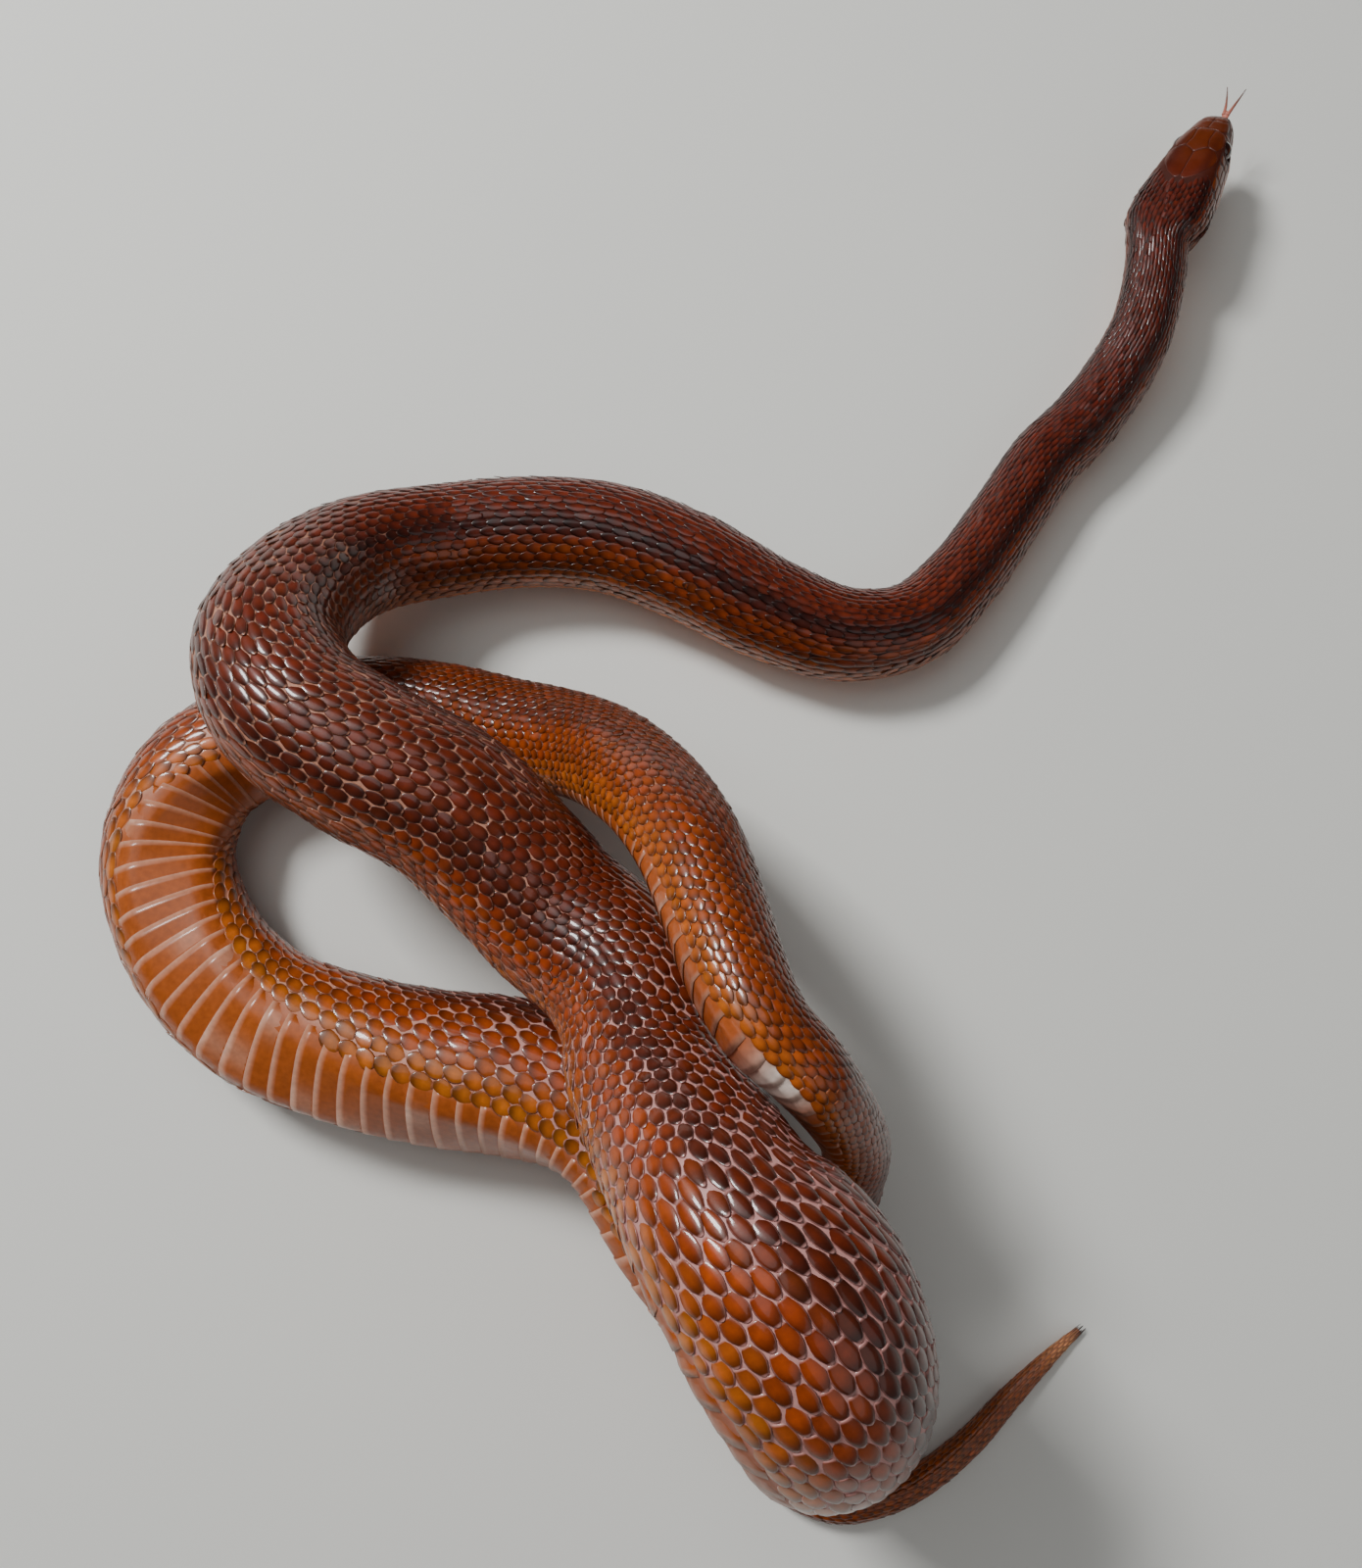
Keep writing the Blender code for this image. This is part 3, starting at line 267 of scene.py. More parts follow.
# Materials: roughness, coat, roughness of the coat, mottling, strength and scale of the grain.
FINISHES = {
    "scale_gloss": (0.36, 0.52, 0.09, 0.12, 0.14, 2600.0),
    "belly_gloss": (0.38, 0.30, 0.16, 0.14, 0.14, 700.0),
    "head_gloss": (0.34, 0.40, 0.16, 0.10, 0.10, 2400.0),
    "soft_skin": (0.50, 0.10, 0.30, 0.10, 0.35, 1500.0),
    "eye_gloss": (0.12, 1.0, 0.03, 0.03, 0.0, 800.0),
    "tongue_skin": (0.30, 0.5, 0.12, 0.06, 0.1, 900.0),
}
MOTTLE_SCALE = 900.0
GLOSS_SCALE = 350.0
GRAIN_HEIGHT = 0.0001

# Lights in metres: name, place, size, power.
LIGHTS = (
    ("key", (-0.50, 0.42, 0.72), 0.22, 9.0),
    ("fill", (0.6, -0.5, 0.7), 0.9, 1.5),
    ("top", (-0.35, 0.3, 1.1), 1.0, 3.6),
)
WORLD_TONE = (0.80, 0.82, 0.84, 1)
WORLD_STRENGTH = 0.08
FLOOR_HALF = 1.6
FLOOR_TONES = ("dededa", "e4e4dd")
CAMERA_PLACE = (-CENTRE[0], -46.02 - CENTRE[1], 261.0)
CAMERA_TARGET = (-CENTRE[0], -CENTRE[1], 0.0)
CAMERA_LENS = 30.04


def smooth(x, low, high):
    """Share from 0 at low to 1 at high, with no corner."""
    t = np.clip((x - low) / (high - low), 0.0, 1.0)
    return t * t * (3.0 - 2.0 * t)


def unit(v):
    """Vectors of length one."""
    return v / np.linalg.norm(v, axis=-1, keepdims=True)


def bend(x, places, values):
    """Smooth curve through a table of values that never overshoots them."""
    steps = np.diff(places)
    slopes = np.diff(values) / steps
    product = slopes[:-1] * slopes[1:]
    total = np.where(product > 0.0, slopes[:-1] + slopes[1:], 1.0)
    inner = np.where(product > 0.0, 2.0 * product / total, 0.0)
    tangents = np.concatenate([slopes[:1], inner, slopes[-1:]])
    i = np.clip(np.searchsorted(places, x) - 1, 0, len(steps) - 1)
    t = np.clip((x - places[i]) / steps[i], 0.0, 1.0)
    start = (1 + 2 * t) * (1 - t) ** 2 * values[i] + t * (1 - t) ** 2 * steps[i] * tangents[i]
    end = t ** 2 * (3 - 2 * t) * values[i + 1] - t ** 2 * (1 - t) * steps[i] * tangents[i + 1]
    return start + end


def evened(values, width):
    """Values averaged over a number of steps to each side."""
    kernel = np.hanning(2 * width + 1)
    padded = np.pad(values, width, mode="edge")
    return np.convolve(padded, kernel / kernel.sum(), mode="valid")


def spline(points, steps):
    """Centripetal Catmull-Rom curve through the points."""
    p = np.array(points, float)
    p = np.vstack([2 * p[0] - p[1], p, 2 * p[-1] - p[-2]])
    rows = []
    for a, b, c, d in zip(p[:-3], p[1:-2], p[2:-1], p[3:]):
        k1 = np.linalg.norm(b - a) ** 0.5
        k2 = k1 + np.linalg.norm(c - b) ** 0.5
        k3 = k2 + np.linalg.norm(d - c) ** 0.5
        t = np.linspace(k1, k2, steps, endpoint=False)[:, None]
        ab = (k1 - t) / k1 * a + t / k1 * b
        bc = (k2 - t) / (k2 - k1) * b + (t - k1) / (k2 - k1) * c
        cd = (k3 - t) / (k3 - k2) * c + (t - k2) / (k3 - k2) * d
        abc = (k2 - t) / k2 * ab + t / k2 * bc
        bcd = (k3 - t) / (k3 - k1) * bc + (t - k1) / (k3 - k1) * cd
        rows.append((k2 - t) / (k2 - k1) * abc + (t - k1) / (k2 - k1) * bcd)
    return np.vstack(rows + [p[-2][None]])


def section(angle):
    """Sideways and upward offsets of the loaf-shaped section at an angle from the back."""
    a = np.radians(angle)
    side = np.sin(a)
    up = np.cos(a)
    half = np.sqrt(1.0 - BELLY_FLAT ** 2)
    belly = -BELLY_FLAT - BELLY_ROUND * (1.0 - np.minimum(np.abs(side) / half, 1.0) ** 2)
    return side, np.maximum(up, belly)


class Spine:
    """Centre line with a tangent, a back direction and a radius at every distance."""

    def __init__(self):
        self.centre = spline(PATH, STEPS)
        self.radius = None
        for _ in range(3):
            self.measure()
            self.settle()
        self.measure()

    def measure(self):
        """Distances, tangents and radii along the line as it lies now."""
        steps = np.linalg.norm(np.diff(self.centre, axis=0), axis=1)
        self.along = np.concatenate([[0.0], np.cumsum(steps)])
        self.tangent = unit(np.gradient(self.centre, self.along, axis=0))
        girth = np.array(GIRTH, float)
        self.radius = bend(self.along, girth[:, 0], girth[:, 1]) / 2
        self.face_back()

    def face_back(self):
        """Carry a frame along the line and turn it to meet the wanted back directions."""
        carried = np.zeros_like(self.centre)
        carried[0] = (0.0, 0.0, 1.0)
        for i, t in enumerate(self.tangent):
            v = carried[max(i - 1, 0)]
            carried[i] = unit(v - t * np.dot(v, t))
        other = np.cross(self.tangent, carried)
        places = []
        turns = []
        for place, wanted in BACK:
            i = min(np.searchsorted(self.along, place), len(self.along) - 1)
            places.append(place)
            turns.append(np.arctan2(np.dot(wanted, other[i]), np.dot(wanted, carried[i])))
        turn = np.interp(self.along, places, np.unwrap(turns))
        turn = evened(turn, TURN_WIDTH)[:, None]
        self.back = carried * np.cos(turn) + other * np.sin(turn)
        self.side = np.cross(self.tangent, self.back)

    def settle(self):
        """Rest the low stretches on the floor and let the others leave it gently."""
        back = np.linspace(-SCUTE_EDGE, SCUTE_EDGE, BACK_COLUMNS)
        side, up = section(np.concatenate([back, BELLY_ANGLES]))
        drop = self.side[:, 2:] * side + self.back[:, 2:] * up
        support = evened(-drop.min(axis=1) * self.radius, REST_WIDTH) - SINK
        rise = spline(PATH, STEPS)[:, 2] - support
        lift = np.where(rise > EASE, rise, (np.maximum(rise + EASE, 0.0)) ** 2 / (4 * EASE))
        self.centre[:, 2] = support + lift

    def frame(self, place):
        """Centre, tangent, side, back and radius at an array of distances from the snout."""
        rows = []
        for table in (self.centre, self.tangent, self.side, self.back):
            rows.append(np.stack([np.interp(place, self.along, table[:, k]) for k in range(3)], 1))
        radius = np.interp(place, self.along, self.radius)
        centre, tangent, side, back = rows
        tangent = unit(tangent)
        back = unit(back - tangent * np.sum(back * tangent, axis=1, keepdims=True))
        return centre, tangent, np.cross(tangent, back), back, radius

    def point(self, place, angle):
        """Points of the body's surface."""
        centre, _, side, back, radius = self.frame(place)
        across, up = section(angle)
        return centre + (side * across[:, None] + back * up[:, None]) * radius[:, None]


class Animal:
    """Surface of the whole animal: a point for any distance from the snout and angle."""

    def __init__(self):
        self.spine = Spine()
        middle = np.array([HEAD_LENGTH / 2])
        centre, tangent, _, back, _ = self.spine.frame(middle)
        self.forward = -tangent[0]
        self.up = back[0]
        self.right = np.cross(self.forward, self.up)
        self.snout = centre[0] + self.forward * HEAD_LENGTH / 2

    def place(self, spots):
        """Scene points, in millimetres, for spots in the head's own axes."""
        s = np.atleast_2d(spots)
        away = s[:, :1] * self.right + s[:, 1:2] * self.forward + s[:, 2:3] * self.up
        return self.snout + away - (*CENTRE, 0.0)

    def spots(self, points):
        """Spots in the head's own axes for scene points."""
        away = np.atleast_2d(points) + (*CENTRE, 0.0) - self.snout
        return np.stack([away @ self.right, away @ self.forward, away @ self.up], 1)

    def head_point(self, behind, angle):
        """Points of the head's surface, which runs into the neck's."""
        form = np.array(HEAD_FORM)
        w, crown, chin, lip = (bend(behind, form[:, 0], form[:, k]) for k in range(1, 5))
        cut = 1.0 - smooth(behind, MOUTH_CORNER - MOUTH_FADE, MOUTH_CORNER)
        rear = smooth(behind, *ROUNDING)
        half = [((p + q * rear) * w, (r + s * rear) * crown) for p, q, r, s, _ in CROWN_SECTION]
        half += [
            (w, lip + LIP_HEIGHT[0]), ((0.98 + 0.01 * cut) * w, lip + MOUTH_HALF),
            ((0.98 - MOUTH_DEPTH * cut) * w, lip),
            ((0.97 - 0.03 * cut) * w, lip - MOUTH_HALF),
            ((0.95 - 0.02 * cut) * w, lip - LIP_HEIGHT[1]),
        ]
        half += [(p * w, q * chin + r * lip) for p, q, r, _ in CHIN_SECTION]
        x = np.stack([a for a, _ in half])
        z = np.stack([b for _, b in half])
        x = np.vstack([-x[1:2], x, -x[-2:-1]])
        z = np.vstack([z[1:2], z, z[-2:-1]])
        v = np.interp(np.abs(angle), HEAD_ANGLES, np.arange(len(HEAD_ANGLES)))
        i = np.minimum(v.astype(int), len(HEAD_ANGLES) - 2)
        t = v - i
        column = np.arange(len(w))
        found = []
        for table in (x, z):
            a, b, c, d = (table[i + k, column] for k in range(4))
            curve = b + 0.5 * t * (c - a + t * (2 * a - 5 * b + 4 * c - d
                                                + t * (3 * (b - c) + d - a)))
            found.append(curve)
        across = -np.sign(angle) * found[0]
        own = self.snout + across[:, None] * self.right - behind[:, None] * self.forward
        own = own + found[1][:, None] * self.up
        into = smooth(behind, NECK_START, HEAD_LENGTH - 1.0)[:, None]
        return own * (1 - into) + self.spine.point(np.maximum(behind, 0.1), angle) * into

    def point(self, place, angle):
        """Scene points of the bare surface at distances from the snout and angles."""
        place, angle = np.broadcast_arrays(np.asarray(place, float), np.asarray(angle, float))
        shape = place.shape
        place = place.ravel()
        angle = (angle.ravel() + 180.0) % 360.0 - 180.0
        found = np.empty((len(place), 3))
        head = place < HEAD_LENGTH
        if head.any():
            found[head] = self.head_point(place[head], angle[head])
        if (~head).any():
            found[~head] = self.spine.point(place[~head], angle[~head])
        return (found - (*CENTRE, 0.0)).reshape(*shape, 3)

    def local(self, place, angle):
        """Points with their outward normals, and how fast the surface runs both ways."""
        ds, da = 0.3, 1.5
        here = self.point(place, angle)
        along = (self.point(place + ds, angle) - self.point(place - ds, angle)) / (2 * ds)
        round_ = (self.point(place, angle + da) - self.point(place, angle - da)) / (2 * da)
        normal = unit(np.cross(round_, along))
        return here, normal, along, round_

    def radius(self, place):
        """Radius of the body, and one value for all of the head."""
        body = np.interp(place, self.spine.along, self.spine.radius)
        return np.where(place < HEAD_LENGTH, HEAD_RADIUS, body)


def skin_depth(animal, place):
    """How far the skin lies inside the outline of the scales."""
    on_head = 1.0 - smooth(place, 16.0, 30.0)
    return (0.08 + 0.018 * animal.radius(place)) * (1 - on_head) + 0.05 * on_head


def scale_height(animal, place):
    """Height of a scale's raised tip over the skin."""
    return 0.09 + 0.016 * animal.radius(place)


def unwrapped(place, angle):
    """Place on an unwrap of the skin: the body cut into strips laid side by side."""
    strip = np.floor(place / STRIP)
    u = (place - strip * STRIP) / STRIP
    v = (strip + MARGIN + (1 - 2 * MARGIN) * (angle % 360.0) / 360.0) / STRIPS
    return MARGIN / 2 + (1 - MARGIN) * u, v


def put_in(name, data):
    """New object in the scene."""
    obj = bpy.data.objects.new(name, data)
    bpy.context.scene.collection.objects.link(obj)
    return obj


class Mesh:
    """Gathers parts of one mesh, then makes it as an object."""

    def __init__(self):
        self.points = []
        self.faces = []
        self.colours = []
        self.maps = []
        self.count = 0

    def add(self, points, triangles, colours, uvs):
        """Add points with a colour each, triangles, and a place in the map for every corner."""
        self.points.append(points)
        self.faces.append(np.asarray(triangles) + self.count)
        self.colours.append(colours)
        self.maps.append(np.asarray(uvs).reshape(-1, 2))
        self.count += len(points)

    def make(self, name, material):
        """The gathered mesh as an object of the scene."""
        points = np.concatenate(self.points)
        faces = np.concatenate(self.faces)
        mesh = bpy.data.meshes.new(name)
        mesh.vertices.add(len(points))
        mesh.vertices.foreach_set("co", (points * MM).astype(np.float32).ravel())
        mesh.loops.add(faces.size)
        mesh.loops.foreach_set("vertex_index", faces.astype(np.int32).ravel())
        mesh.polygons.add(len(faces))
        starts = np.arange(0, faces.size, 3, dtype=np.int32)
        mesh.polygons.foreach_set("loop_start", starts)
        mesh.polygons.foreach_set("use_smooth", np.ones(len(faces), bool))
        layer = mesh.uv_layers.new(name="OFBake")
        layer.data.foreach_set("uv", np.concatenate(self.maps).astype(np.float32).ravel())
        tint = mesh.color_attributes.new("Tint", "FLOAT_COLOR", "POINT")
        rgba = np.ones((len(points), 4), np.float32)
        rgba[:, :3] = np.concatenate(self.colours)
        tint.data.foreach_set("color", rgba.ravel())
        mesh.update(calc_edges=True)
        mesh.validate()
        mesh.materials.append(material)
        obj = put_in(name, mesh)
        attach(obj, "root")
        return obj


def rgb(code):
    """Linear colour of a written one."""
    value = np.array([int(code[k:k + 2], 16) for k in (0, 2, 4)]) / 255.0
    return np.where(value <= 0.04045, value / 12.92, ((value + 0.055) / 1.055) ** 2.4)


def mix(a, b, share):
    """One colour, worked out or written, with another laid over it."""
    a, b = (rgb(c) if isinstance(c, str) else c for c in (a, b))
    share = np.asarray(share)[..., None]
    return a * (1 - share) + b * share


def hill(x, centre, width):
    """One at the centre, falling off to both sides."""
    return np.exp(-((x - centre) / width) ** 2)


def toned(colour, place, *tones):
    """Colour with others laid over it, each from one distance up to another."""
    for tone, start, end in tones:
        colour = mix(colour, tone, smooth(place, start, end))
    return colour


def three(place, fore, mid, hind):
    """Colour that changes from the front of the body to the thick arch and to the rear."""
    return toned(fore, place, (mid, 230, 380), (hind, 520, 680))


def scale_colour(place, angle):
    """Colour of the scales at a distance from the snout and an angle from the back."""
    a = np.abs((angle + 180.0) % 360.0 - 180.0)
    fore = 1.0 - smooth(place, 170.0, 330.0)
    colour = mix(three(place, "561c0a", "561d08", "602406"),
                 three(place, "6a2a08", "803206", "783006"), smooth(a, 54.0, 80.0))
    line = three(place, "200603", "2c0a02", "421203")
    colour = mix(colour, line, (0.45 + 0.45 * fore) * hill(a, 50.0, 12.0))
    colour = mix(colour, line, 0.35 * fore * hill(a, 92.0, 8.0))
    colour = mix(colour, "3d0f08", 0.5 * (1.0 - smooth(place, 40.0, 150.0)) * (a < 44.0))
    colour = mix(colour, three(place, "94502a", "985214", "964a12"), smooth(a, 92.0, 126.0))
    # painted light: from about 940 mm back the tail scales are a brighter orange, lightening the
    # shade that falls on them
    colour = mix(colour, "8a4210", smooth(place, 925.0, 960.0))
    colour = mix(colour, "c98a58", 0.8 * smooth(place, 984.0, 993.0))
    return mix(colour, "2a1008", smooth(place, 993.0, 996.0))


def belly_colour(place):
    """Plain pinkish orange of the belly, palest at the front and at the vent."""
    colour = toned("dc8040", place, ("a04f1c", 60, 420), ("a64f1e", 640, 900))
    return mix(colour, "f2e6da", 0.9 * hill(place, VENT, 3.5))


def skin_colour(place, angle):
    """Skin between the scales: dark in front, pinkish grey where it is stretched."""
    a = np.abs((angle + 180.0) % 360.0 - 180.0)
    colour = toned("2a0e08", place, ("b07c66", 200, 290), ("c08c86", 320, 420),
                   ("c08a72", 520, 600), ("a0664a", 660, 720))
    colour = mix(colour, belly_colour(place), smooth(a, 122.0, 136.0))
    return mix(colour, "421405", 1.0 - smooth(place, 16.0, 26.0))


def grid_faces(rows, columns, first):
    """Triangles of a grid of points that closes on itself across, from a first point on."""
    i = np.arange(rows - 1)[:, None] * columns
    k = np.arange(columns)[None, :]
    m = (k + 1) % columns
    a, b, c, d = i + k, i + m, i + columns + m, i + columns + k
    quads = np.stack([a, b, c, d], -1).reshape(-1, 4) + first
    return np.concatenate([quads[:, [0, 2, 1]], quads[:, [0, 3, 2]]])


def sheet_faces(rows, columns):
    """Triangles of an open grid of points, as a list."""
    found = []
    for i in range(rows - 1):
        for k in range(columns - 1):
            a = i * columns + k
            found += [(a, a + columns, a + 1), (a + 1, a + columns, a + columns + 1)]
    return found


def fan(ring, middle):
    """Triangles from a closed ring of points to the one in its middle."""
    return np.stack([ring, np.roll(ring, -1), np.full(len(ring), middle)], 1)


def capped(rings, n):
    """Triangles of closed rings of points with a middle point at each end, kept last."""
    end = rings * n
    return np.concatenate([grid_faces(rings, n, 0), fan(np.arange(n), end),
                           fan(np.arange(end - n, end), end + 1)[:, ::-1]])


def outward(points, faces):
    """Triangles of a closed shape, turned to face out."""
    a, b, c = (points[faces[:, k]] - points[0] for k in range(3))
    return faces if np.sum(np.cross(a, b) * c) > 0 else faces[:, ::-1]


def dent(animal, points):
    """Sink the skin behind the eyes and in the nostrils, with a low rim round each eye."""
    spots = animal.spots(points)
    for sign in (1, -1):
        x, y, z = EYE_PLACE
        off = np.hypot(spots[:, 1] - y, spots[:, 2] - z)
        side = spots[:, 0] * sign > 2.0
        rim = EYE_RIM[0] * hill(off, EYE_OPENING + EYE_RIM[1], EYE_RIM[2])
        hole = -SOCKET_DEPTH * (1.0 - smooth(off, EYE_OPENING - 0.25, EYE_OPENING + 0.05))
        spots[:, 0] += sign * np.where(side, rim + hole, 0.0)
        x, y, z = NOSTRIL_PLACE
        off = np.hypot(spots[:, 1] - y, spots[:, 2] - z)
        hole = -NOSTRIL_DEPTH * (1.0 - smooth(off, 0.1, 0.55))
        spots[:, 0] += sign * np.where(side, hole, 0.0)
    return animal.place(spots)


def make_skin(animal, material):
    """One closed skin: fine rings on the head, coarser ones on the body, joined 3 to 1."""
    steps = np.arange(len(HEAD_ANGLES))
    half = np.interp(np.arange(0, steps[-1], 1.0 / HEAD_SPLIT), steps, HEAD_ANGLES)
    head_angles = np.concatenate([half, 360.0 - np.append(half, 180.0)[:0:-1]])
    body_angles = head_angles[::JOIN]
    head_places = np.linspace(0.0, 1.0, HEAD_RINGS) ** 1.5 * (HEAD_LENGTH - 0.2)
    body_places = np.append(np.arange(HEAD_LENGTH, TAIL_END - 0.4, SKIN_RING), TAIL_END - 0.1)
    sets = []
    for places, angles in ((head_places, head_angles), (body_places, body_angles)):
        place, angle = np.meshgrid(places, angles, indexing="ij")
        here, normal, _, _ = animal.local(place, angle)
        here = here - normal * skin_depth(animal, place)[..., None]
        sets.append((place, angle, here.reshape(-1, 3)))
    (hp, ha, head), (bp, ba, body) = sets
    surface = BVHTree.FromPolygons([tuple(p) for p in animal.spots(head)],
                                   [tuple(f) for f in grid_faces(*hp.shape, 0).tolist()])
    head = dent(animal, head)
    points = np.vstack([head, body, head[:hp.shape[1]].mean(0), body[-bp.shape[1]:].mean(0)])
    points[:, 2] = np.maximum(points[:, 2], SKIN_FLOOR)
    place = np.concatenate([hp.ravel(), bp.ravel(), [0.0, body_places[-1]]])
    angle = np.concatenate([ha.ravel(), ba.ravel(), [0.0, 0.0]])
    n, m = hp.shape[1], bp.shape[1]
    start = hp.size
    faces = [grid_faces(*hp.shape, 0), grid_faces(*bp.shape, start)]
    last = start - n
    for k in range(m):
        b, c = start + k, start + (k + 1) % m
        ring = [last + (JOIN * k + j) % n for j in range(JOIN + 1)]
        faces.append(np.array([(ring[0], b, ring[1]), (ring[1], b, ring[2]),
                               (ring[2], b, c), (ring[2], c, ring[3])]))
    tip = start + bp.size
    faces += [fan(np.arange(n), tip), fan(np.arange(tip - m, tip), tip + 1)[:, ::-1]]
    faces = outward(points, np.concatenate(faces))
    corner_place = place[faces]
    corner_angle = angle[faces]
    wraps = (corner_angle.max(1) - corner_angle.min(1)) > 180.0
    corner_angle = np.where(wraps[:, None] & (corner_angle < 180.0), 359.9, corner_angle)
    strip = np.floor(corner_place.min(1) / STRIP)[:, None]
    corner_place = np.minimum(corner_place, (strip + 1) * STRIP - 1e-3)
    uvs = np.stack(unwrapped(corner_place, corner_angle), -1)
    mesh = Mesh()
    mesh.add(points, faces, skin_colour(place, angle), uvs)
    return mesh.make("skin", material), surface


def scale_pattern():
    """Rows along and columns across one scale, its half width, and its triangles."""
    u = np.array((0.0, 0.09, 0.24, 0.42, 0.60, 0.76, 0.89, 0.97))
    width = np.array((0.32, 0.47, 0.60, 0.67, 0.64, 0.51, 0.33, 0.16))
    v = np.array((-1.0, -0.84, -0.45, 0.0, 0.45, 0.84, 1.0))
    rows, columns = len(u), len(v)
    faces = sheet_faces(rows, columns)
    for i in range(rows - 1):
        a, b = i * columns, (i + 1) * columns - 1
        faces += [(a, b, a + columns), (b, b + columns, a + columns)]
    tip = rows * columns
    end = (rows - 1) * columns
    for k in range(columns - 1):
        faces.append((end + k, tip, end + k + 1))
    faces.append((end, end + columns - 1, tip))
    for k in range(1, columns - 1):
        faces.append((0, k, k + 1))
    uu = np.append(np.repeat(u, columns), 1.0)
    vv = np.append(np.tile(v, rows), 0.0)
    ww = np.append(np.repeat(width, columns), 0.0)
    return uu, vv, ww, np.array(faces)[:, ::-1]


def scute_pitch(animal, place):
    """Length of a belly scute at a distance from the snout."""
    return SCUTE_PITCH[0] + SCUTE_PITCH[1] * float(animal.radius(place))


def scale_roots(animal, random):
    """Distance, angle, and length and width of the cell of every scale of back and flank."""
    edges = [HEAD_LENGTH]
    while edges[-1] < TAIL_END - 1.0:
        close = np.interp(edges[-1], CLOSE_AT, CLOSE)
        edges.append(edges[-1] + scute_pitch(animal, edges[-1]) * close)
    before = [HEAD_LENGTH]
    while before[-1] > CROWN_AT[0]:
        before.append(before[-1] - np.interp(before[-1], CROWN_AT, CROWN))
    edges = np.array(before[:0:-1] + edges)
    found = []
    for row in range(-MOST_ROWS, MOST_ROWS + 1):
        shift = 0.5 if row % 2 else 0.0
        index = np.arange(len(edges) - 1) + shift
        place = np.interp(index, np.arange(len(edges)), edges)
        cell = np.interp(index, np.arange(len(edges) - 1), np.diff(edges))
        step = 2 * SCUTE_EDGE / np.interp(place, ROWS_AT, ROWS)
        part = np.minimum(np.abs(row * step) / SCUTE_EDGE, 1.6)
        angle = row * step * (1.0 - WIDEN + WIDEN * part ** 2)
        step = step * (1.0 - WIDEN + 3.0 * WIDEN * part ** 2)
        found.append(np.stack([place, angle, cell, step], 1))
    found = np.concatenate(found)
    found[:, 3] = np.minimum(found[:, 3], 16.0)
    place, angle, cell, step = found.T
    size = np.abs(angle)
    on_body = size < SCUTE_EDGE - 0.1 * step
    under_chin = (place < CHIN_END) & (size < 180.0)
    first = np.interp(size, START_ANGLES, START_PLACES)
    keep = (on_body | under_chin) & (place > first)
    found = found[keep]
    jitter = random.normal(0.0, 1.0, (len(found), 2)) * (0.035, 0.03)
    found[:, 0] += jitter[:, 0] * found[:, 2]
    found[:, 1] += jitter[:, 1] * found[:, 3]
    return found


def make_scales(animal, material, random):
    """The coat: every scale a closed, domed plate that follows the surface under it."""
    uu, vv, ww, pattern = scale_pattern()
    roots = scale_roots(animal, random)
    place, angle, cell, step = roots.T
    _, _, along, round_ = animal.local(place, angle)
    run = np.linalg.norm(along, axis=1)
    spread = np.linalg.norm(round_, axis=1)
    length = cell * np.interp(place, COVER_AT, COVER_LENGTH) * np.maximum(run, 0.45 + 0.55 * run)
    width = step * spread * np.interp(place, COVER_AT, COVER_WIDTH)
    length = length * random.normal(1.0, 0.03, len(place))
    width = width * random.normal(1.0, 0.03, len(place))
    s = place[:, None] + (uu - 0.12)[None, :] * (length / run)[:, None]
    a = angle[:, None] + (vv * ww)[None, :] * (width / spread)[:, None]
    here, normal, _, _ = animal.local(s, a)
    height = scale_height(animal, place)[:, None]
    depth = skin_depth(animal, place)[:, None]
    tip = 0.85 * uu ** 1.2 - 0.30
    dome = (1.0 - np.abs(vv) ** 3.0) * np.sqrt(np.clip(1.0 - uu ** 4, 0, 1)) * 0.62
    keel = np.where(vv == 0.0, 0.10, 0.0)[None, :] * (1 - smooth(np.abs(angle), 30, 70))[:, None]
    lift = -depth + height * ((tip + dome)[None, :] + keel)
    tilt = random.normal(0.0, TILT, (2, len(place), 1))
    lift = lift + tilt[0] * (vv * ww)[None, :] * width[:, None]
    lift = lift + tilt[1] * (uu - 0.5)[None, :] * length[:, None]
    points = here + normal * lift[..., None]
    points[..., 2] = np.maximum(points[..., 2], SCALE_FLOOR)
    base = scale_colour(place, angle)
    shade = random.normal(0.0, 1.0, len(place))[:, None]
    base = base * np.exp(0.10 * shade + 0.04 * random.normal(0.0, 1.0, (len(place), 3)))
    rear = np.clip(smooth(uu, 0.45, 0.95) + 0.35 * smooth(np.abs(vv), 0.4, 0.9), 0, 1)
    centre = hill(uu, 0.38, 0.26) * (1 - 0.8 * np.abs(vv))
    tone = base[:, None, :] * (1.0 - 0.60 * rear + 0.55 * centre)[None, :, None]
    outer = ((np.abs(vv) > 0.9) | (uu > 0.96) | (uu < 0.05)).astype(float)
    rim = np.interp(place, RIM_AT, RIM)[:, None] * outer[None, :]
    tone = mix(tone, skin_colour(place, angle)[:, None, :], rim)
    u0, v0 = unwrapped(place, angle)
    uv_u = u0[:, None] + (uu - 0.5)[None, :] * PATCH
    uv_v = v0[:, None] + (vv * 0.5)[None, :] * PATCH
    order = np.argsort(place, kind="stable")
    for number, group in enumerate(np.array_split(order, COAT_PIECES)):
        mesh = Mesh()
        first = np.arange(len(group))[:, None, None] * len(uu)
        faces = (pattern[None] + first).reshape(-1, 3)
        uvs = np.stack([uv_u[group].reshape(-1)[faces], uv_v[group].reshape(-1)[faces]], -1)
        mesh.add(points[group].reshape(-1, 3), faces, tone[group].reshape(-1, 3), uvs)
        mesh.make(f"scales_{number + 1}", material)


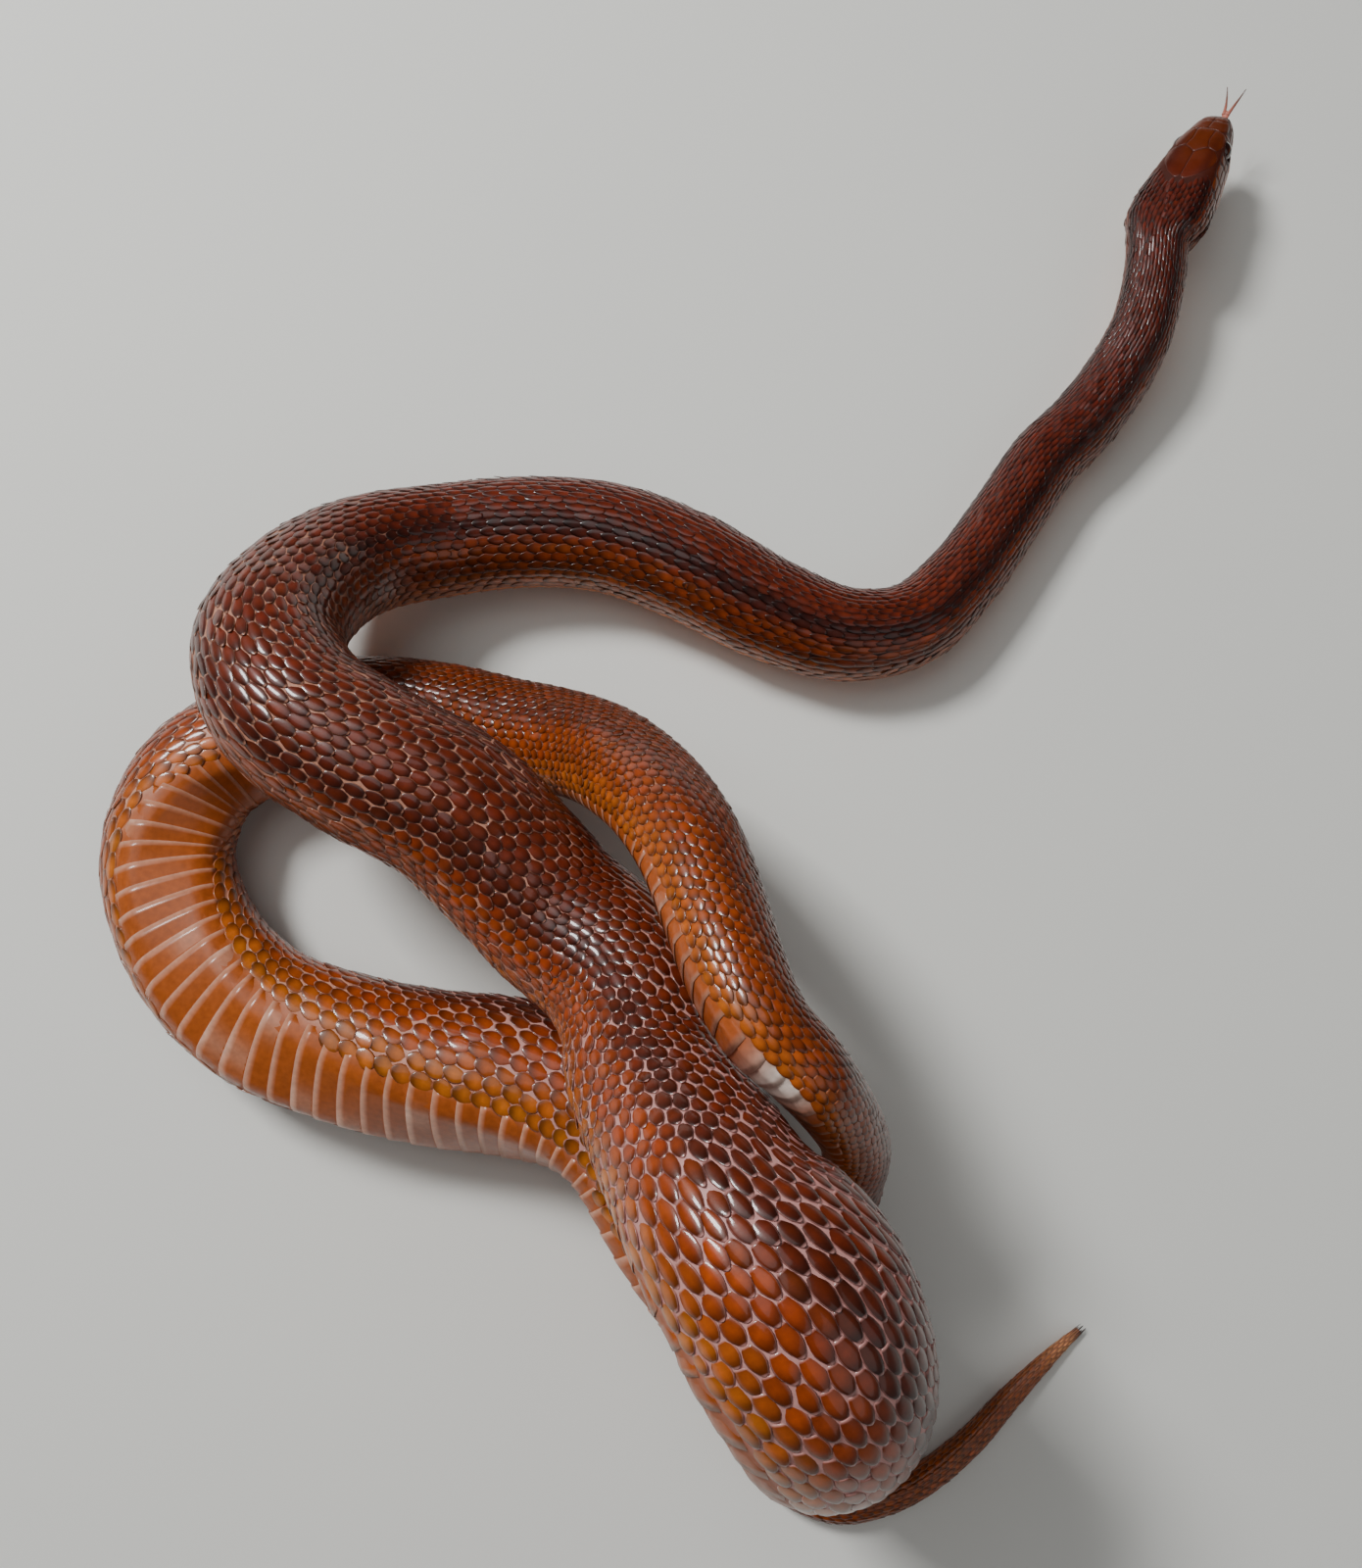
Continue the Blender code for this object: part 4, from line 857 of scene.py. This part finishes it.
def plate_pattern(rows, columns):
    """Triangles of a closed plate: a domed grid on top and a flat sheet of it below."""
    low = rows * columns
    top = np.array(sheet_faces(rows, columns))
    under = top[:, ::-1] + low
    rim = [i * columns for i in range(rows)]
    rim += [(rows - 1) * columns + k for k in range(1, columns)]
    rim += [i * columns + columns - 1 for i in range(rows - 2, -1, -1)]
    rim += [k for k in range(columns - 2, 0, -1)]
    rim = np.array(rim)
    nxt = np.roll(rim, -1)
    wall = np.concatenate([np.stack([rim, rim + low, nxt], 1),
                           np.stack([nxt, rim + low, nxt + low], 1)])
    return np.concatenate([top, under, wall])[:, ::-1]


def make_scutes(animal, material, random):
    """Belly scutes, each a broad plate whose hind edge lies over the next, paired on the tail."""
    edges = [CHIN_END]
    while edges[-1] < HEAD_LENGTH - 1.5:
        edges.append(edges[-1] + THROAT_PITCH)
    edges[-1] = HEAD_LENGTH
    while edges[-1] < TAIL_END - 1.0:
        edges.append(edges[-1] + scute_pitch(animal, edges[-1]))
    rows, columns = 5, 15
    u, v = np.meshgrid(np.linspace(0.0, 1.0, rows), np.linspace(-1.0, 1.0, columns), indexing="ij")
    faces = plate_pattern(rows, columns)
    mesh = Mesh()
    for first, last in zip(edges[:-1], edges[1:]):
        blotch = random.normal(0.0, 1.0, 4)
        reach = last - first
        for low, high in PAIR_SPAN if first > VENT + 2.0 else (SCUTE_SPAN,):
            place = first - 0.10 * reach + u * reach * 1.22
            place = place + 0.10 * reach * (1 - v ** 2) * (0.4 + 0.6 * u)
            place = np.minimum(place, TAIL_END - 0.2)
            angle = (low + high) / 2 + v * (high - low) / 2 * (1 - 0.05 * u ** 3)
            here, normal, _, _ = animal.local(place, angle)
            height = scale_height(animal, first)
            depth = skin_depth(animal, first)
            lift = -0.45 + 1.25 * u ** 0.8 - 0.5 * np.abs(v) ** 8
            top = here + normal * (-depth + height * lift)[..., None]
            under = here + normal * (-depth + height * (lift - 0.45))[..., None]
            points = np.concatenate([top.reshape(-1, 3), under.reshape(-1, 3)])
            points[:, 2] = np.maximum(points[:, 2], SCUTE_FLOOR)
            colour = belly_colour(place).reshape(-1, 3) * np.exp(0.05 * random.normal())
            pale = 0.5 * smooth(u, 0.78, 1.0)
            pale = pale + 0.3 * smooth(blotch[0], 0.5, 1.2) * hill(v, 0.5 * blotch[1], 0.25)
            colour = np.tile(mix(colour, "d8b09a", pale.ravel()), (2, 1))
            u0, v0 = unwrapped((first + last) / 2, (low + high) / 2)
            corner = np.stack([u0 + (u.ravel() - 0.5) * PATCH, v0 + v.ravel() * PATCH / 2], 1)
            mesh.add(points, faces, colour, np.tile(corner, (2, 1))[faces])
    return mesh.make("belly_scutes", material)


def inset(outline, depth):
    """Outline drawn in by a depth on every side."""
    p = np.array(outline, float)
    x, y = p.T
    turn = np.sign(np.sum(x * np.roll(y, -1) - np.roll(x, -1) * y))
    edge = np.roll(p, -1, axis=0) - p
    normal = unit(np.stack([-edge[:, 1], edge[:, 0]], axis=1)) * turn
    before = np.roll(normal, 1, axis=0)
    share = 1.0 + np.sum(normal * before, axis=1, keepdims=True)
    return p + (normal + before) * depth / np.maximum(share, 0.5)


def rounded(outline, step=0.28):
    """Outline with its corners rounded a little and points at even steps."""
    p = np.array(outline, float)
    for _ in range(2):
        nxt = np.roll(p, -1, axis=0)
        size = np.linalg.norm(nxt - p, axis=1, keepdims=True)
        cut = np.minimum(0.25, 0.22 / np.maximum(size, 1e-6))
        p = np.stack([p + (nxt - p) * cut, nxt - (nxt - p) * cut], 1).reshape(-1, 2)
    closed = np.vstack([p, p[:1]])
    along = np.concatenate([[0.0], np.cumsum(np.linalg.norm(np.diff(closed, axis=0), axis=1))])
    count = max(16, int(along[-1] / step))
    spots = np.linspace(0.0, along[-1], count, endpoint=False)
    return np.stack([np.interp(spots, along, closed[:, k]) for k in range(2)], 1)


def aim(view, spot, sign):
    """Start and direction of the line that meets a spot drawn in a view of the head."""
    a, b = spot
    if view == "top":
        return (a * sign, -b, HEAD_LENGTH), (0.0, 0.0, -1.0)
    if view == "under":
        return (a * sign, -b, -HEAD_LENGTH), (0.0, 0.0, 1.0)
    if view == "side":
        return (HEAD_LENGTH * sign, -a, b), (-sign, 0.0, 0.0)
    return (a * sign, HEAD_LENGTH, b), (0.0, -1.0, 0.0)


def lip_shields(sutures, heights, side):
    """Outlines, seen from the side, of the shields along the upper or lower lip."""
    form = np.array(HEAD_FORM)
    found = []
    for k, (a, b) in enumerate(zip(sutures[:-1], sutures[1:])):
        middle = (a + b) / 2
        row = []
        for behind, height in ((a, 0.0), (middle, 0.0), (b, 0.0), (b, heights[k + 1]),
                               (middle, heights[k + 1] * 0.5 + heights[k] * 0.5 + 0.1),
                               (a, heights[k])):
            mouth = bend(behind, form[:, 0], form[:, 4])
            row.append((behind, mouth + side * (MOUTH_HALF - LIP_REACH + height)))
        found.append(row)
    return found


def mirrored(half):
    """Outline that crosses the middle of the head, from its right half."""
    return list(half) + [(-x, y) for x, y in half[::-1] if x > 0.0]


def all_shields():
    """Every shield of the head: outline, view and side."""
    found = [(mirrored(FRONTAL), "top", 1), (mirrored(ROSTRAL), "front", 1),
             (mirrored(MENTAL), "front", 1)]
    lower = [LOWER_LIP_HEIGHT] * len(LOWER_LIP)
    lips = lip_shields(UPPER_LIP, UPPER_LIP_HEIGHT, 1) + lip_shields(LOWER_LIP, lower, -1)
    for sign in (1, -1):
        found += [(outline, "top", sign) for outline in TOP_SHIELDS]
        found += [(outline, "side", sign) for outline in SIDE_SHIELDS + tuple(lips)]
        found += [(outline, "under", sign) for outline in CHIN_SHIELDS]
    return found


def head_colour(spots):
    """Rust brown with darker marks on top, paler along the lips and under the chin."""
    x, y, z = spots.T
    behind = -y
    colour = mix("5c2203", "561a06", smooth(behind, 8.0, 20.0))
    colour = mix(colour, "6e2e06", smooth(np.abs(x), 3.5, 6.5))
    mark = hill(np.abs(x), 2.4 + 0.10 * behind, 1.3) * smooth(behind, 5.0, 13.0)
    colour = mix(colour, "360c06", 0.6 * mark)
    colour = mix(colour, "b8642c", smooth(-z, 0.0, 1.6))
    return mix(colour, "dc9460", smooth(-z, 2.4, 3.8))


def make_shields(animal, surface, material, random):
    """Head shields as smooth closed plates with rounded edges and fine grooves between."""
    rings = len(SHIELD_PROFILE) - 1
    mesh = Mesh()
    for outline, view, sign in all_shields():
        ring = rounded(inset(outline, SHIELD_GROOVE / 4))
        middle = ring.mean(axis=0)
        nasal = view == "side" and outline is SIDE_SHIELDS[0]
        if nasal:
            middle = np.array((-NOSTRIL_PLACE[1], NOSTRIL_PLACE[2]))
        n = len(ring)
        points = []
        for share, lift in SHIELD_PROFILE:
            spots = middle + (ring - middle) * share
            if share == 0.0:
                spots = spots[:1]
            for spot in spots:
                start, direction = aim(view, spot, sign)
                hit, normal, _, _ = surface.ray_cast(start, direction)
                if hit is None:
                    hit, normal, _, _ = surface.find_nearest(start)
                out = -np.sign(normal.dot(Vector(direction))) or 1.0
                away = np.linalg.norm(spot - middle)
                drop = 0.45 * (1.0 - smooth(away, 0.15, 0.42)) if nasal else 0.0
                points.append(np.array(hit) + np.array(normal) * out * (lift - drop))
        points.insert(rings * n, np.mean(points[:n], axis=0))
        points = np.array(points)
        faces = outward(points, capped(rings, n))
        tone = head_colour(points) * np.exp(0.06 * random.normal())
        rim = np.append(np.repeat((1.0, 1.0, 0.8, 0.35), n), np.zeros(len(points) - 4 * n))
        tone = tone * (1 - 0.12 * rim)[:, None]
        across, ahead, up = points[-1]
        u0, v0 = unwrapped(max(-ahead, 0.0), np.degrees(np.arctan2(-across, up)))
        off = (points - points[-1]) * 0.0002
        uv = np.stack([u0 + off[:, 1], v0 + off[:, 0]], 1)
        mesh.add(animal.place(points), faces, tone, uv[faces])
    return mesh.make("head_shields", material)


def ball_grid(rings, segments):
    """Unit ball about the x axis with its pole outward, and its triangles."""
    turn = np.linspace(0.0, np.pi, rings)
    around = np.linspace(0.0, 2 * np.pi, segments, endpoint=False)
    t, a = np.meshgrid(turn[1:-1], around, indexing="ij")
    points = np.stack([np.cos(t), np.sin(t) * np.cos(a), np.sin(t) * np.sin(a)], -1)
    points = np.vstack([points.reshape(-1, 3), (1, 0, 0), (-1, 0, 0)])
    return points, capped(rings - 2, segments)


def make_eye(animal, side, sign, material):
    """Eyeball with a round pupil, a dark reddish iris and a thin bright ring."""
    points, faces = ball_grid(60, 48)
    across = np.degrees(np.arccos(np.clip(points[:, 0], -1, 1)))
    colour = mix("3a1206", "200804", smooth(across, 30.0, 50.0))
    colour = mix(colour, "904a1c", hill(across, 27.0, 1.5))
    colour = mix(colour, "020202", 1.0 - smooth(across, 24.0, 25.5))
    points = points * (sign, 1, 1)
    faces = outward(points, faces)
    spots = points * EYE_RADIUS + np.array(EYE_PLACE) * (sign, 1, 1)
    uv = 0.5 + 0.45 * points[:, 1:]
    mesh = Mesh()
    mesh.add(animal.place(spots), faces, colour, uv[faces])
    return mesh.make(f"{side}_eyeball", material)


def oval(centre, wide, high):
    """Ring of points across the line of the tongue."""
    turn = np.linspace(0.0, 2 * np.pi, 16, endpoint=False)
    return centre + np.stack([wide * np.cos(turn), 0 * turn, high * np.sin(turn)], 1)


def make_tongue(animal, material):
    """Forked tongue: a flat stem and two prongs that taper to points."""
    lip = HEAD_FORM[0][4]
    stem = []
    for step in np.linspace(0.0, 1.0, 12):
        ahead = TONGUE_ROOT + TONGUE_STEM * step if step else TONGUE_BASE + 0.2
        wide = (TONGUE_WIDTH + TONGUE_FLARE * step) * (1.0 - 0.6 * smooth(step, 0.9, 1.0))
        stem.append(oval((0.0, ahead, lip + TONGUE_RISE * step ** 2), wide, TONGUE_THICK))
    parts = [stem]
    for sign in (1, -1):
        prong = []
        for step in np.linspace(0.0, 1.0, 20):
            ahead = TONGUE_ROOT + TONGUE_STEM - PRONG_OVERLAP + PRONG_LENGTH * step
            aside = sign * (PRONG_SPREAD[0] + PRONG_SPREAD[1] * step ** 1.5)
            size = PRONG_SIZE[1] + PRONG_SIZE[0] * (1 - step)
            rise = lip + TONGUE_RISE + PRONG_RISE * step ** 2
            prong.append(oval((aside, ahead, rise), size, size))
        parts.append(prong)
    mesh = Mesh()
    for rings in parts:
        points = np.vstack([*rings, rings[0].mean(0), rings[-1].mean(0)])
        faces = outward(points, capped(len(rings), len(rings[0])))
        colour = mix("b8705f", "4a2a22", smooth(points[:, 1], 2.0, 8.0))
        uv = 0.5 + points[:, :2] * 0.04
        mesh.add(animal.place(points), faces, colour, uv[faces])
    return mesh.make("forked_tongue", material)


def new_material(name, values):
    """Principled material with values set on its shader."""
    material = bpy.data.materials.new(name)
    material.use_nodes = True
    shader = material.node_tree.nodes["Principled BSDF"]
    for socket, value in values.items():
        shader.inputs[socket].default_value = value
    return material, material.node_tree, shader


def add_node(tree, kind, values, links):
    """Node with values set on some inputs and others linked to what feeds them."""
    node = tree.nodes.new(kind)
    for socket, value in values.items():
        node.inputs[socket].default_value = value
    for socket, source in links.items():
        tree.links.new(source, node.inputs[socket])
    return node


def add_noise(tree, scale, detail=4.0):
    """Noise over the object's own coordinates."""
    where = tree.nodes.new("ShaderNodeTexCoord").outputs["Object"]
    values = {"Scale": scale, "Detail": detail}
    return add_node(tree, "ShaderNodeTexNoise", values, {"Vector": where}).outputs["Fac"]


def spread(tree, scale, low, high):
    """Noise turned into a value between two limits."""
    values = {"From Min": 0.3, "From Max": 0.7, "To Min": low, "To Max": high}
    links = {"Value": add_noise(tree, scale)}
    return add_node(tree, "ShaderNodeMapRange", values, links).outputs["Result"]


def coat_material(name, roughness, coat, coat_roughness, mottle, bump, grain):
    """Scale or skin: tint with fine mottling, uneven gloss and a faint grain."""
    values = {"Roughness": roughness, "Specular IOR Level": 0.25, "Coat Weight": coat,
              "Coat Roughness": coat_roughness}
    material, tree, shader = new_material(name, values)
    tint = tree.nodes.new("ShaderNodeVertexColor")
    tint.layer_name = "Tint"
    value = spread(tree, MOTTLE_SCALE, 1.0 - mottle, 1.0 + mottle)
    links = {"Value": value, "Color": tint.outputs["Color"]}
    mottled = add_node(tree, "ShaderNodeHueSaturation", {}, links)
    raised = add_node(tree, "ShaderNodeBump", {"Strength": bump, "Distance": GRAIN_HEIGHT},
                      {"Height": add_noise(tree, grain)})
    rough = spread(tree, GLOSS_SCALE, roughness - 0.06, roughness + 0.08)
    tree.links.new(mottled.outputs["Color"], shader.inputs["Base Color"])
    tree.links.new(rough, shader.inputs["Roughness"])
    tree.links.new(raised.outputs["Normal"], shader.inputs["Normal"])
    return material


def make_stage():
    """Plain floor, lamps and a dim even sky."""
    mesh = bpy.data.meshes.new("floor")
    corners = [(x * FLOOR_HALF, y * FLOOR_HALF, 0) for x, y in ((-1, -1), (1, -1), (1, 1), (-1, 1))]
    mesh.from_pydata(corners, [], [(0, 1, 2, 3)])
    floor = put_in("floor", mesh)
    material, tree, shader = new_material("floor", {"Roughness": 0.85})
    links = {"Fac": add_noise(tree, 9.0, 6.0)}
    ramp = add_node(tree, "ShaderNodeValToRGB", {}, links)
    for element, tone in zip(ramp.color_ramp.elements, FLOOR_TONES):
        element.color = (*rgb(tone), 1)
    tree.links.new(ramp.outputs["Color"], shader.inputs["Base Color"])
    mesh.materials.append(material)
    for name, spot, size, power in LIGHTS:
        light = bpy.data.lights.new(name, "AREA")
        light.size = size
        light.energy = power
        lamp = put_in(name, light)
        lamp.location = spot
        lamp.rotation_euler = (-Vector(spot)).to_track_quat("-Z", "Y").to_euler()
    world = bpy.data.worlds.new("studio")
    world.use_nodes = True
    sky = world.node_tree.nodes["Background"]
    sky.inputs["Color"].default_value = WORLD_TONE
    sky.inputs["Strength"].default_value = WORLD_STRENGTH
    bpy.context.scene.world = world


def make_camera():
    """Camera above the coil, with the framing of the photograph."""
    camera = bpy.data.cameras.new("camera")
    camera.lens = CAMERA_LENS
    camera.sensor_width = 36.0
    camera.clip_start = 0.005
    obj = put_in("camera", camera)
    obj.location = Vector(CAMERA_PLACE) * MM
    away = Vector(CAMERA_PLACE) - Vector(CAMERA_TARGET)
    obj.rotation_euler = away.to_track_quat("Z", "Y").to_euler()
    bpy.context.scene.camera = obj


def main():
    """Build every piece over the solids, then the stage and the camera."""
    random = np.random.default_rng(SEED)
    animal = Animal()
    scales, belly, plates, soft, wet, moist = (
        coat_material(name, *values) for name, values in FINISHES.items())
    skin, surface = make_skin(animal, soft)
    flesh = ["head", *LENGTHS]
    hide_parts(*flesh)
    make_scales(animal, scales, random)
    make_scutes(animal, belly, random)
    make_shields(animal, surface, plates, random)
    for side, sign in (("right", 1), ("left", -1)):
        eye = make_eye(animal, side, sign, wet)
        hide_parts(f"eye_{side}")
    tongue = make_tongue(animal, moist)
    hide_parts("tongue")
    make_stage()
    make_camera()


main()
